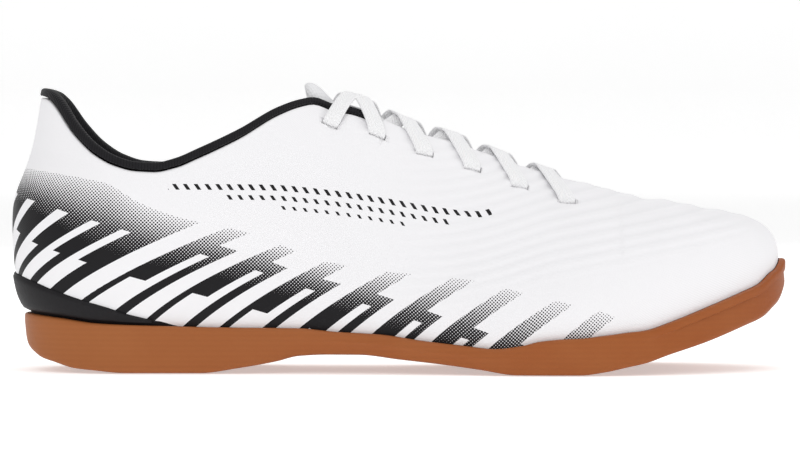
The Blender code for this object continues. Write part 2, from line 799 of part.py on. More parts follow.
def make_tongue(collection):
    """Padded tongue with a rounded top, from under the vamp to its peak."""
    rows = []
    for k in range(TONGUE_STEPS + 1):
        row = []
        for across in TONGUE_ACROSS:
            top = TONGUE_TOP + TONGUE_ROUND * across ** 2
            foot = TONGUE_FOOT - TONGUE_FOOT_ROUND * across ** 2
            x = top + (foot - top) * k / TONGUE_STEPS
            width = TONGUE_HALF_WIDTH * (1 - TONGUE_TAPER * k / TONGUE_STEPS)
            row.append(tongue_point(x, width * across))
        rows.append(row)
    bm = weld(loft(rows))
    look = material("tongue_mesh", (0.82, 0.82, 0.84), 0.8)
    tongue = add_object("tongue", bm, collection, look, CLOTH_ANGLE)
    wall = tongue.modifiers.new("wall", "SOLIDIFY")
    wall.thickness = TONGUE_THICKNESS
    wall.offset = -1.0
    wall.use_even_offset = True
    return tongue


def make_insole(collection):
    """Sock liner on the footbed, inside the upper's wall."""
    clear = UPPER_INSET + WALL + 2 * GAP
    flat = [inset(i, clear) for i in range(LOOP)]
    low = [(p[0], p[1], bed(p[0]) + GAP) for p in flat]
    high = [(p[0], p[1], bed(p[0]) + GAP + INSOLE_THICKNESS) for p in flat]
    under = span(flat, 2, lambda x: bed(x) + GAP)
    over = span(flat, 2, lambda x: bed(x) + GAP + INSOLE_THICKNESS)
    bm = join_grids((under, ring_grid((low, high)), over))
    return add_object("insole", bm, collection, material("insole_foam", (0.05, 0.05, 0.055), 0.85))


def lace_height(x, across, over_top):
    """Height of the lace's underside: on the near eyestay, sunk in the throat, under the far eyestay."""
    edge = THROAT_WIDTH * throat_half(share(x))
    sunk = -TONGUE_SINK
    proud = LACE_CLEAR + BAND_PROUD * smooth_step(COLLAR_END - x, -BAND_RUN / 2, BAND_RUN)
    if across > 0 or over_top:
        return sunk + (proud - sunk) * smooth_step(abs(across), 0.0, edge - LACE_WIDTH / 2)
    under = LACE_CLEAR - tongue_drop(x, across)
    return sunk + (under - sunk) * smooth_step(-across, 0.0, edge - LACE_WIDTH * LACE_TUCK)


def lace_strap(k, side, lift):
    """One strap of a crossing, from eyelet k up over the tongue and under the far eyestay."""
    start_x, start = eyelet_place(k, side)
    finish_x, finish = eyelet_place(k - 1, -side)
    over_top = k == 1
    middle = []
    for j in range(LACE_STEPS + 1):
        t = j / LACE_STEPS
        x = start_x + (finish_x - start_x) * t
        across = start + (finish - start) * t
        point, normal = surface_across(x, across)
        height = lace_height(x, across * side, over_top)
        middle.append((point + normal * (height + LACE_THICKNESS / 2 + lift), normal))
    rows = []
    for j, (point, normal) in enumerate(middle):
        along = middle[min(j + 1, LACE_STEPS)][0] - middle[max(j - 1, 0)][0]
        across = along.cross(normal).normalized() * LACE_WIDTH / 2
        up = across.cross(along).normalized() * LACE_THICKNESS / 2
        rows.append([point + across + up, point - across + up, point - across - up, point + across - up])
    return weld(loft(rows, closed_rows=True, caps=True))


def make_lace_cross(collection, cutters, k, look):
    """Two straps that cross over the tongue, joined where they meet."""
    first = add_object("lace_cross_" + str(k), lace_strap(k, -1, 0.0), collection, look)
    second = as_cutter(add_object("lace_strap_" + str(k), lace_strap(k, 1, LACE_LIFT), cutters, None))
    union = first.modifiers.new("join", "BOOLEAN")
    union.operation = "UNION"
    union.solver = "EXACT"
    union.object = second
    return first


def main():
    for old in list(bpy.data.objects):
        bpy.data.objects.remove(old, do_unlink=True)
    shoe = bpy.data.collections.new("indoor_soccer_shoe")
    cutters = bpy.data.collections.new("cutters")
    bpy.context.scene.collection.children.link(shoe)
    bpy.context.scene.collection.children.link(cutters)
    make_outsole(shoe, cutters)
    make_upper(shoe, cutters)
    make_collar(shoe)
    make_counter(shoe)
    make_tongue(shoe)
    make_insole(shoe)
    lace = material("lace_white", (0.85, 0.85, 0.86), 0.75)
    for k in range(1, EYELET_COUNT):
        make_lace_cross(shoe, cutters, k, lace)


main()
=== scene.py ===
import math

import bmesh
import bpy
import numpy as np
from mathutils import Matrix, Vector


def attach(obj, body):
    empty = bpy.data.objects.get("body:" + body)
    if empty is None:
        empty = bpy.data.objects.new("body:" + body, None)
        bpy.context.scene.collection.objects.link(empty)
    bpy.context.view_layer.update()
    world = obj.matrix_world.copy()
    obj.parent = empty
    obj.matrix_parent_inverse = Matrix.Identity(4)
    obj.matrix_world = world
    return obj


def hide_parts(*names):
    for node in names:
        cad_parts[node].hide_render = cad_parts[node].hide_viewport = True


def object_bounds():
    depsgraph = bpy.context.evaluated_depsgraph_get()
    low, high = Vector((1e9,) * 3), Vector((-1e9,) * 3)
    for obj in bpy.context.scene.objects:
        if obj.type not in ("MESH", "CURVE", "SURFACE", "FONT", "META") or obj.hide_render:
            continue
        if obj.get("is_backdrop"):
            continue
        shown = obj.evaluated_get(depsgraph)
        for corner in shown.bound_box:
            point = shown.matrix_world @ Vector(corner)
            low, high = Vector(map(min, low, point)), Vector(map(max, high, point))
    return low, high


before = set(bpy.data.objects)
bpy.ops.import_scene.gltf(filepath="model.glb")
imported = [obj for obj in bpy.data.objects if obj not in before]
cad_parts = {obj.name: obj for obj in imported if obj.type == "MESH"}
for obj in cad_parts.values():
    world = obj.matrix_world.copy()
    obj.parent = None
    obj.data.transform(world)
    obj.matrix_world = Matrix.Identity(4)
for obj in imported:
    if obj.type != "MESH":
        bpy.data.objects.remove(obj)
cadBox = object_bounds()
print("frame loaded:", sorted(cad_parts))

# the form the whole shoe is built on; every piece reads its place from here, metres throughout
form = {
    "length": 0.286, "heelOverhang": 0.0044, "ballWidth": 0.100, "heelWidth": 0.069,
    "heelHeight": 0.1037, "collarDip": 0.0765, "collarFront": 0.1008, "instepHeight": 0.1016,
    "toeHeight": 0.0596, "heelRound": 0.15, "toeRound": 0.27, "toePower": 2.2,
    "rimHeight": 0.0209, "toeSpring": 0.0316, "archRise": 0.0066, "heelBevel": 0.0142,
    "heelStack": 0.0105, "foreStack": 0.0050, "archOnBed": 0.55,
    "heelBulge": 0.0080, "heelFan": 0.0350, "toeFan": 0.0310, "fanSoftness": 0.0200,
    "tentRound": 0.15, "inset": 0.0027, "stations": 220, "samples": 200,
    # share of sole length, centre and ridge in ball widths, heel part and ball part of the width
    "outline": (
        (0.000, 0.0000, 0.000, 1.00, 0.000), (0.170, 0.0000, 0.000, 1.00, 0.000),
        (0.290, -0.0075, 0.000, 0.80, 0.125), (0.390, -0.0320, 0.000, 0.50, 0.310),
        (0.490, -0.0550, 0.000, 0.20, 0.550), (0.590, -0.0520, 0.010, 0.00, 0.820),
        (0.675, -0.0280, 0.020, 0.00, 0.950), (0.735, 0.0000, 0.030, 0.00, 1.000),
        (0.800, 0.0180, 0.040, 0.00, 0.990), (0.860, 0.0360, 0.050, 0.00, 0.960),
        (0.920, 0.0540, 0.060, 0.00, 0.910), (1.000, 0.0760, 0.070, 0.00, 0.820),
    ),
    "heelCurve": (
        (0.000, 1.00), (0.006, 0.66), (0.016, 0.48), (0.027, 0.35), (0.045, 0.25),
        (0.071, 0.11), (0.098, 0.06), (0.137, 0.00), (1.000, 0.00),
    ),
    "archCurve": (
        (0.000, 0.00), (0.236, 0.00), (0.282, 0.25), (0.334, 0.64), (0.361, 0.92), (0.400, 1.00),
        (0.439, 1.00), (0.492, 0.76), (0.544, 0.53), (0.595, 0.26), (0.641, 0.00), (1.000, 0.00),
    ),
    "springCurve": (
        (0.000, 0.000), (0.722, 0.000), (0.755, 0.035), (0.780, 0.082), (0.807, 0.133),
        (0.833, 0.212), (0.886, 0.358), (0.938, 0.530), (0.965, 0.627), (0.978, 0.720),
        (0.988, 0.800), (0.996, 0.920), (1.000, 1.000),
    ),
    "rimCurve": (
        (0.000, 1.000), (0.050, 0.940), (0.100, 0.860), (0.180, 0.820), (0.280, 0.790),
        (0.360, 0.780), (0.410, 0.720), (0.465, 0.680), (0.520, 0.575), (0.570, 0.500),
        (0.610, 0.450), (0.645, 0.500), (0.670, 0.580), (0.700, 0.620), (0.740, 0.636),
        (0.780, 0.600), (0.830, 0.540), (0.900, 0.580), (0.980, 0.575), (1.000, 0.430),
    ),
    "stackCurve": ((0.00, 1.0), (0.25, 1.0), (0.60, 0.0), (1.00, 0.0)),
    # share of sole length, ridge in heel heights, instep heights and toe heights
    "ridge": (
        (0.000, 1.255, 0.000, 0.000), (0.135, 1.235, 0.000, 0.000), (0.280, 0.700, 0.425, 0.000),
        (0.375, 0.130, 0.907, 0.000), (0.414, 0.000, 1.000, 0.000), (0.492, 0.000, 0.922, 0.000),
        (0.570, 0.000, 0.780, 0.117), (0.650, 0.000, 0.480, 0.477), (0.702, 0.000, 0.260, 0.765),
        (0.755, 0.000, 0.100, 0.970), (0.833, 0.000, 0.000, 1.047), (0.890, 0.000, 0.000, 1.000),
        (0.940, 0.000, 0.000, 0.964), (1.000, 0.000, 0.000, 0.920),
    ),
    # share of sole length, side power, top power, tent share, bulge share
    "section": (
        (0.000, 5.0, 2.0, 0.00, 1.00), (0.100, 4.0, 2.0, 0.00, 0.62), (0.200, 3.2, 2.0, 0.00, 0.36),
        (0.360, 2.3, 2.0, 0.18, 0.24), (0.480, 2.1, 2.0, 0.36, 0.18), (0.650, 2.2, 2.0, 0.43, 0.18),
        (0.780, 2.6, 2.2, 0.20, 0.16), (0.900, 3.4, 2.4, 0.04, 0.06), (1.000, 4.0, 2.5, 0.00, 0.00),
    ),
    "bulgeCurve": (
        (0.00, 0.00), (0.04, 0.36), (0.10, 0.62), (0.17, 0.77), (0.24, 0.87), (0.33, 0.94),
        (0.42, 0.99), (0.48, 0.98), (0.54, 0.85), (0.63, 0.55), (0.74, 0.27), (0.85, 0.16),
        (1.00, 0.12),
    ),
    # share of sole length, rise of the collar line towards the heel and towards the throat
    "collarLine": (
        (0.000, 1.000, 0.00), (0.024, 1.000, 0.00), (0.036, 0.970, 0.00), (0.046, 0.890, 0.00),
        (0.071, 0.555, 0.00), (0.098, 0.267, 0.00), (0.123, 0.104, 0.00), (0.151, 0.015, 0.00),
        (0.176, 0.000, 0.00), (0.203, 0.000, 0.07), (0.229, 0.000, 0.20), (0.283, 0.000, 0.50),
        (0.334, 0.000, 0.84), (0.361, 0.000, 0.95), (0.386, 0.000, 1.00), (1.000, 0.000, 1.00),
    ),
    "throatWidth": 0.0150, "throatEnd": 0.0815, "throatRound": 0.0060, "edgeBlend": 0.0012,
    "bedClear": 0.0003, "heelBend": -0.090, "probe": 0.001, "slopeReach": 5, "slopeMost": 2.0,
    "throat": ((0.00, 0.50), (0.40, 0.50), (0.60, 0.46), (0.74, 0.38), (1.00, 0.38)),
}


def curve(rows, column):
    # monotone cubic through the first column and another one
    xs = np.array([row[0] for row in rows])
    ys = np.array([row[column] for row in rows])
    step = np.diff(xs)
    slope = np.diff(ys) / step
    tangent = np.zeros(len(xs))
    for i in range(1, len(xs) - 1):
        if slope[i - 1] * slope[i] > 0:
            before = 2 * step[i] + step[i - 1]
            after = step[i] + 2 * step[i - 1]
            tangent[i] = (before + after) / (before / slope[i - 1] + after / slope[i])
    tangent[0] = slope[0]
    tangent[-1] = slope[-1]

    def value(at):
        at = np.clip(at, xs[0], xs[-1])
        i = np.clip(np.searchsorted(xs, at, side="right") - 1, 0, len(step) - 1)
        t = (at - xs[i]) / step[i]
        rise = ys[i] * (1 + 2 * t) * (1 - t) ** 2 + ys[i + 1] * t * t * (3 - 2 * t)
        return rise + step[i] * (tangent[i] * t * (1 - t) ** 2 - tangent[i + 1] * t * t * (1 - t))

    return value


def smooth(value, start, run):
    t = np.clip((value - start) / run, 0.0, 1.0)
    return t * t * (3 - 2 * t)


heelX = -form["length"] / 2 + form["heelOverhang"]
toeX = form["length"] / 2
soleLength = toeX - heelX
centreOf = curve(form["outline"], 1)
ridgeSideOf = curve(form["outline"], 2)
heelPart = curve(form["outline"], 3)
ballPart = curve(form["outline"], 4)
heelCurve = curve(form["heelCurve"], 1)
archCurve = curve(form["archCurve"], 1)
springCurve = curve(form["springCurve"], 1)
rimCurve = curve(form["rimCurve"], 1)
stackCurve = curve(form["stackCurve"], 1)
ridgeParts = [curve(form["ridge"], c) for c in (1, 2, 3)]
sidePower = curve(form["section"], 1)
topPower = curve(form["section"], 2)
tentShare = curve(form["section"], 3)
bulgeShare = curve(form["section"], 4)
bulgeCurve = curve(form["bulgeCurve"], 1)
collarBack = curve(form["collarLine"], 1)
collarFore = curve(form["collarLine"], 2)
throatHalf = curve(form["throat"], 1)


def shareOf(x):
    return np.clip((x - heelX) / soleLength, 0.0, 1.0)


def halfWidth(s):
    half = (heelPart(s) * form["heelWidth"] + ballPart(s) * form["ballWidth"]) / 2
    heel = np.clip(1 - s / form["heelRound"], 0, 1)
    toe = np.clip((s - 1 + form["toeRound"]) / form["toeRound"], 0, 1)
    half = half * np.sqrt(1 - heel ** 2)
    return half * np.maximum(0.0, 1 - toe ** form["toePower"]) ** (1 / form["toePower"])


def ground(x):
    s = shareOf(x)
    low = form["heelBevel"] * heelCurve(s) + form["archRise"] * archCurve(s)
    return low + form["toeSpring"] * springCurve(s)


def rim(x):
    s = shareOf(x)
    return form["rimHeight"] * rimCurve(s) + form["toeSpring"] * springCurve(s)


def footBed(x):
    s = shareOf(x)
    stack = form["foreStack"] + (form["heelStack"] - form["foreStack"]) * stackCurve(s)
    return stack + form["archOnBed"] * form["archRise"] * archCurve(s) + form["toeSpring"] * springCurve(s)


def ridgeY(x):
    return form["ballWidth"] * ridgeSideOf(shareOf(x))


def ridgeZ(x):
    s = shareOf(x)
    heights = (form["heelHeight"], form["instepHeight"], form["toeHeight"])
    return sum(height * part(s) for height, part in zip(heights, ridgeParts))


def collarZ(x):
    s = shareOf(x)
    back = (form["heelHeight"] - form["collarDip"]) * collarBack(s)
    return form["collarDip"] + back + (form["collarFront"] - form["collarDip"]) * collarFore(s)


def spineX(x):
    # where the section that starts at x ends on the ridge
    soft = form["fanSoftness"]
    toeStart = toeX - form["toeFan"] - soft
    heelStart = heelX + form["heelFan"] + soft
    if x > toeStart:
        run = form["toeFan"] + soft
        return toeStart + soft * (1 - (1 - (x - toeStart) / run) ** (run / soft))
    if x < heelStart:
        run = form["heelFan"] + soft
        return heelStart - soft * (1 - (1 - (heelStart - x) / run) ** (run / soft))
    return x


def makeOutline(stations):
    # heel, outer side, toe, inner side, with outward normals
    k = np.arange(2 * stations)
    x = (heelX + toeX) / 2 - soleLength / 2 * np.cos(np.pi * k / stations)
    s = shareOf(x)
    half = np.where(k % stations == 0, 0.0, halfWidth(s))
    points = np.column_stack([x, centreOf(s) * form["ballWidth"] + np.where(k < stations, -1, 1) * half])
    along = np.roll(points, -1, axis=0) - np.roll(points, 1, axis=0)
    along /= np.linalg.norm(along, axis=1)[:, None]
    return points, np.column_stack([along[:, 1], -along[:, 0]])


sideCount = form["stations"]
outer, outward = makeOutline(sideCount)
loopCount = len(outer)
foot = outer - outward * form["inset"]


def mirrorOf(k):
    # the inner side's station across from station k of the outer side
    return (loopCount - k) % loopCount


def roundHeel(endX):
    # stations from endX on the inner side round the heel to endX on the outer side
    last = max(k for k in range(sideCount) if outer[k][0] <= endX)
    return [mirrorOf(k) for k in range(last, 0, -1)] + list(range(last + 1))


def stationBehind(x):
    return int(np.searchsorted(outer[:sideCount + 1, 0], x, side="right")) - 1


def makeSection(i):
    # points up the wall from rim to ridge at station i, and the arc length at each
    s = shareOf(outer[i][0])
    base = rim(outer[i][0])
    topX = spineX(outer[i][0])
    top = np.array([topX, ridgeY(topX)])
    reach = foot[i] - top
    out = reach / np.linalg.norm(reach)
    v = 1 - (1 - np.arange(form["samples"] + 1) / form["samples"]) ** 2
    r = np.maximum(0.0, np.cos(np.pi * v / 2)) ** (2 / sidePower(s))
    r[-1] = 0.0
    flat = top + reach * r[:, None]
    tent = form["tentRound"]
    roundPart = np.maximum(0.0, 1 - r ** sidePower(s)) ** (1 / topPower(s))
    tentPart = 1 - (np.hypot(r, tent) - tent) / (math.hypot(1.0, tent) - tent)
    mix = tentShare(s)
    crest = ridgeZ(flat[:, 0])
    z = base + (crest - base) * ((1 - mix) * roundPart + mix * tentPart)
    lift = (z - base) / (np.minimum(form["heelHeight"], crest) - base)
    swell = form["heelBulge"] * bulgeShare(s) * bulgeCurve(lift) * np.minimum(1.0, 4 * r)
    points = np.column_stack([flat + out * swell[:, None], z])
    steps = np.linalg.norm(np.diff(points, axis=0), axis=1)
    return points, np.concatenate([[0.0], np.cumsum(steps)]), out


sections = [makeSection(i) for i in range(loopCount)]


def onSection(i, arc):
    # points and outward normals at arc lengths up section i
    points, arcs, out = sections[i]
    arc = np.atleast_1d(arc)

    def at(distance):
        return np.column_stack([np.interp(distance, arcs, points[:, c]) for c in range(3)])

    step = form["probe"]
    along = at(np.minimum(arc + step, arcs[-1])) - at(np.maximum(arc - step, 0.0))
    along /= np.linalg.norm(along, axis=1)[:, None]
    sideways = along[:, 0] * out[0] + along[:, 1] * out[1]
    normal = np.column_stack([out[0] * along[:, 2], out[1] * along[:, 2], -sideways])
    return at(arc), normal / np.linalg.norm(normal, axis=1)[:, None]


def arcWhere(i, values, level):
    arcs = sections[i][1]
    over = np.nonzero(values >= level)[0]
    if len(over) == 0:
        return arcs[-1]
    k = over[0]
    if k == 0:
        return 0.0
    return arcs[k - 1] + (level - values[k - 1]) / (values[k] - values[k - 1]) * (arcs[k] - arcs[k - 1])


def throatGap(x):
    # half gap of the throat, rounded off at its lower end
    half = form["throatWidth"] * throatHalf(shareOf(x))
    past = (x - form["throatEnd"] + form["throatRound"]) / form["throatRound"]
    return half * math.sqrt(max(0.0, 1 - past ** 2)) if past > 0 else half


def edgeArc(i):
    # arc length at which the upper and its binding end
    points, arcs, _ = sections[i]
    x = spineX(outer[i][0])
    if x >= form["throatEnd"]:
        return arcs[-1]
    atCollar = arcWhere(i, points[:, 2] - collarZ(points[:, 0]), 0.0)
    inward = -np.linalg.norm(points[:, :2] - np.array([x, ridgeY(x)]), axis=1)
    atThroat = arcWhere(i, inward, -throatGap(x))
    low = min(atCollar, atThroat)
    soft = form["edgeBlend"]
    return low - soft * math.log(math.exp(-(atCollar - low) / soft) + math.exp(-(atThroat - low) / soft))


edges = np.array([edgeArc(i) for i in range(loopCount)])
spines = np.array([spineX(x) for x in outer[:, 0]])


def slopeFactor(i):
    # how much longer a step down the wall is than one square to the edge
    before = (i - form["slopeReach"]) % loopCount
    after = (i + form["slopeReach"]) % loopCount
    a = onSection(before, edges[before])[0][0]
    b = onSection(after, edges[after])[0][0]
    return min(form["slopeMost"], math.hypot(1.0, (b[2] - a[2]) / np.linalg.norm(b[:2] - a[:2])))


def pointAcross(x, across):
    # point of the upper at x and a distance across from its ridge
    k = stationBehind(x)
    t = (x - outer[k][0]) / (outer[k + 1][0] - outer[k][0])
    found = []
    for i in ((k, k + 1) if across <= 0 else (mirrorOf(k), mirrorOf(k + 1))):
        centre = np.array([spines[i], ridgeY(spines[i])])
        inward = -np.linalg.norm(sections[i][0][:, :2] - centre, axis=1)
        found.append(onSection(i, arcWhere(i, inward, -abs(across)))[0][0])
    return found[0] * (1 - t) + found[1] * t


def surfaceAcross(x, across):
    step = form["probe"]
    side = 1 if across > 0 else -1
    here = pointAcross(x, across)
    along = pointAcross(x + step, across) - pointAcross(x - step, across)
    over = pointAcross(x, across + side * step) - here
    normal = np.cross(along, over) * side
    return here, normal / np.linalg.norm(normal), along / np.linalg.norm(along)


def upright(x, spread):
    # mean direction of the two flanks beside the ridge
    both = surfaceAcross(x, -spread / 2)[1] + surfaceAcross(x, spread / 2)[1]
    return both / np.linalg.norm(both)


def softened(normal, up, across, spread):
    # turns a flank's normal upright towards the ridge, so that what is laid under it can't fold
    mixed = up + (normal - up) * smooth(abs(across), 0.0, spread)
    return mixed / np.linalg.norm(mixed)


def unroll():
    # distance round the foot; ahead of the heel's bend it is the same as x
    flat = outer[:, 0].copy()
    for side in (range(sideCount, -1, -1), range(sideCount, loopCount + 1)):
        run = [i % loopCount for i in side]
        for a, b in zip(run, run[1:]):
            if outer[b][0] < form["heelBend"]:
                flat[b] = flat[a] - np.linalg.norm(outer[a] - outer[b])
    return flat


unrolled = unroll()


class Value:
    # one socket of a material; sums and products of values add the Math nodes they need
    def __init__(self, tree, socket=None):
        self.tree = tree
        self.socket = socket

    def node(self, kind, settings=None, inputs=None, output=0):
        made = self.tree.nodes.new("ShaderNode" + kind)
        for name, value in (settings or {}).items():
            setattr(made, name, value)
        for name, value in (inputs or {}).items():
            if isinstance(value, Value):
                self.tree.links.new(value.socket, made.inputs[name])
            else:
                made.inputs[name].default_value = value
        return Value(self.tree, made.outputs[output])

    def math(self, operation, *values):
        return self.node("Math", {"operation": operation}, dict(enumerate(values)))

    def __add__(self, other):
        return self.math("ADD", self, other)

    def __radd__(self, other):
        return self.math("ADD", other, self)

    def __sub__(self, other):
        return self.math("SUBTRACT", self, other)

    def __rsub__(self, other):
        return self.math("SUBTRACT", other, self)

    def __mul__(self, other):
        return self.math("MULTIPLY", self, other)

    def __rmul__(self, other):
        return self.math("MULTIPLY", other, self)

    def __lt__(self, other):
        return self.math("LESS_THAN", self, other)

    def __gt__(self, other):
        return self.math("GREATER_THAN", self, other)

    def either(self, other):
        return self.math("MAXIMUM", self, other)

    def clip(self):
        return self.node("Clamp", {}, {0: self, 1: 0.0, 2: 1.0})

    def size(self):
        return self.math("ABSOLUTE", self)

    def part(self):
        return self.math("FRACT", self)

    def wave(self, pitch):
        return self.math("SINE", self * (2 * math.pi / pitch))

    def split(self):
        return [self.node("SeparateXYZ", {}, {0: self}, output=c) for c in range(3)]


def mixColour(factor, low, high):
    maker = next(v for v in (factor, low, high) if isinstance(v, Value))
    names = {0: factor, 6: low, 7: high}
    return maker.node("Mix", {"data_type": "RGBA"}, names, output=2)


def startMaterial(name, fixed):
    # fixed holds the numbers that are the same all over the surface
    made = bpy.data.materials.new(name)
    made.use_nodes = True
    shader = made.node_tree.nodes["Principled BSDF"]
    for socket, value in fixed.items():
        shader.inputs[socket].default_value = value
    return made, shader, Value(made.node_tree)


def feed(shader, tree, **sockets):
    for name, value in sockets.items():
        tree.tree.links.new(value.socket, shader.inputs[name.replace("_", " ")])


def bump(height, distance, strength, under=None):
    inputs = {"Height": height, "Distance": distance, "Strength": strength}
    if under:
        inputs["Normal"] = under
    return height.node("Bump", {}, inputs)


def noise(tree, scale, detail=2.0, vector=None):
    inputs = {"Scale": scale, "Detail": detail}
    inputs["Vector"] = vector or tree.node("TexCoord", {}, {}, output="Object")
    return tree.node("TexNoise", {}, inputs)


def attribute(tree, name):
    return tree.node("Attribute", {"attribute_name": name}, {}, output="Vector")


def addMesh(name, points, faces, look, layers=None, smoothAngle=None):
    mesh = bpy.data.meshes.new(name)
    mesh.from_pydata(np.asarray(points).tolist(), [], [list(map(int, face)) for face in faces])
    for layer, values in (layers or {}).items():
        made = mesh.attributes.new(layer, "FLOAT_VECTOR", "POINT")
        made.data.foreach_set("vector", np.asarray(values, dtype=np.float32).ravel())
    bm = bmesh.new()
    bm.from_mesh(mesh)
    bmesh.ops.remove_doubles(bm, verts=bm.verts, dist=1e-7)
    bmesh.ops.recalc_face_normals(bm, faces=bm.faces)
    bm.to_mesh(mesh)
    bm.free()
    mesh.materials.append(look)
    mesh.shade_smooth()
    if smoothAngle:
        mesh.set_sharp_from_angle(angle=math.radians(smoothAngle))
    made = bpy.data.objects.new(name, mesh)
    bpy.context.scene.collection.objects.link(made)
    return made


def gridFaces(index, flip=False):
    a, b, c, d = index[:-1, :-1], index[:-1, 1:], index[1:, 1:], index[1:, :-1]
    quads = np.stack([a, d, c, b] if flip else [a, b, c, d], axis=-1).reshape(-1, 4)
    found = []
    for quad in quads:
        face = [v for k, v in enumerate(quad) if v != quad[k - 1]]
        if len(face) > 2:
            found.append(face)
    return found


def spanLoop(points, start, heightAt, spans):
    # closes one loop of stations with a floor of points between its two sides
    near = points[start]
    count = sum(len(one) for one in points)
    grid = np.zeros((sideCount + 1, spans + 1), dtype=int)
    for k in range(sideCount + 1):
        a, b = near[k], near[mirrorOf(k)]
        grid[k, 0] = start * loopCount + k
        grid[k, -1] = start * loopCount + mirrorOf(k)
        for j in range(1, spans):
            if k in (0, sideCount):
                grid[k, j] = grid[k, 0]
                continue
            x, y = (a + (b - a) * j / spans)[:2]
            points.append(np.array([[x, y, heightAt(x)]]))
            grid[k, j] = count
            count += 1
    return grid


def boxCuts(places):
    # points and faces of boxes to cut with, each given by its lengths, its turn and its middle
    sides = ((0, 1, 3, 2), (4, 6, 7, 5), (0, 4, 5, 1), (2, 3, 7, 6), (0, 2, 6, 4), (1, 5, 7, 3))
    box = np.array([(a, b, c) for a in (-0.5, 0.5) for b in (-0.5, 0.5) for c in (-0.5, 0.5)])
    corners, faces = [], []
    for lengths, turn, middle in places:
        faces += [[len(corners) + v for v in side] for side in sides]
        corners += list((box * lengths) @ turn + middle)
    return corners, faces


def twoSided(faces, count):
    # the same faces again for the other side, whose points come count places later
    return faces + [[v + count for v in face[::-1]] for face in faces]


def vertexNormals(points, faces):
    normals = np.zeros_like(points)
    for count in (3, 4):
        chosen = np.array([face for face in faces if len(face) == count])
        if len(chosen):
            corners = points[chosen]
            across = corners[:, 2] - corners[:, 0]
            other = corners[:, count - 1] - corners[:, 1]
            made = np.cross(across, other)
            for c in range(count):
                np.add.at(normals, chosen[:, c], made)
    return normals / np.maximum(np.linalg.norm(normals, axis=1), 1e-12)[:, None]


def cutWith(piece, cutter):
    modifier = piece.modifiers.new("cut", "BOOLEAN")
    modifier.operation = "DIFFERENCE"
    modifier.solver = "MANIFOLD"  # keeps the layers that the materials read
    modifier.object = cutter
    # the cut becomes mesh, so the piece needs nothing live
    graph = bpy.context.evaluated_depsgraph_get()
    mesh = bpy.data.meshes.new_from_object(piece.evaluated_get(graph))
    piece.modifiers.clear()
    piece.data = mesh
    bpy.data.objects.remove(cutter, do_unlink=True)


def addPiece(piece, node):
    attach(piece, "root")
    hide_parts(node)


# sole: gum rubber, a little darker towards the toe
rubber = {
    "heelColour": (0.350, 0.112, 0.029, 1), "toeColour": (0.312, 0.078, 0.013, 1),
    "cloud": (0.385, 0.132, 0.038, 1), "grooveShade": (0.215, 0.058, 0.014, 1),
    "turnPerMetre": 3.6, "cloudFrom": 0.42, "cloudGain": 1.2,
    # fine tread and the faint lines round the side wall
    "zigzag": 0.0140, "treadPitch": 0.0044, "treadShare": 0.35, "treadShade": 0.45, "treadDepth": 0.0005,
    "underside": -0.8, "drawLines": 0.0019, "lineShade": 0.05, "grain": 0.00016,
}


def makeRubber():
    made, shader, tree = startMaterial("gumRubber", {"IOR": 1.5, "Specular IOR Level": 0.26})
    place = tree.node("TexCoord", {}, {}, output="Object")
    x, y, z = place.split()
    underside = tree.node("TexCoord", {}, {}, output="Normal").split()[2] < rubber["underside"]
    cloud = noise(tree, 38.0, 3.0, place)
    towardsToe = (x * rubber["turnPerMetre"] + 0.5).clip()
    base = mixColour(towardsToe, rubber["heelColour"], rubber["toeColour"])
    base = mixColour((cloud - rubber["cloudFrom"]) * rubber["cloudGain"], base, rubber["cloud"])
    # faint lines round the side wall, painted as the shade of fine moulded lines
    base = mixColour((z.wave(rubber["drawLines"]) + 1) * rubber["lineShade"], base, rubber["grooveShade"])
    # fine tread: zigzag grooves between the moulded ones, with painted shade darkening the colour in them
    turned = ((y * (1 / rubber["zigzag"])).part() - 0.5).size() * rubber["zigzag"]
    tread = ((x + turned).wave(rubber["treadPitch"]) > rubber["treadShare"]) * underside
    base = mixColour(tread * rubber["treadShade"], base, rubber["grooveShade"])
    fine = noise(tree, 2600.0, 2.0, place)
    coarse = noise(tree, 420.0, 2.0, place)
    surface = bump(fine * 0.6 + coarse, rubber["grain"], 0.6)
    surface = bump(1 - tread, rubber["treadDepth"], 0.8, surface)
    feed(shader, tree, Base_Color=base, Roughness=0.42 + cloud * 0.16 + tread * 0.1, Normal=surface)
    return made


soleSize = {
    "wall": 0.0024, "bevel": 0.0010, "groundEdge": 0.0016, "waistTuck": 0.0035, "tuckAbove": 0.7,
    "draft": 0.0003, "stepDrop": 0.0030, "stepDepth": 0.0007, "stepStart": 0.80, "stepFade": 0.08,
    "treadDepth": 0.0012, "treadWidth": 0.0024, "treadReach": 0.70, "pivotRadius": 0.0140,
    "pivotX": 0.280 * form["length"], "pivotY": 0.0080, "pivotTurns": 48, "spans": 30, "smoothAngle": 40,
    "roundSteps": 6, "wallSteps": 10,
    "treadRows": (0.075, 0.112, 0.150, 0.225, 0.262, 0.575, 0.612, 0.650, 0.805, 0.842, 0.880),
}


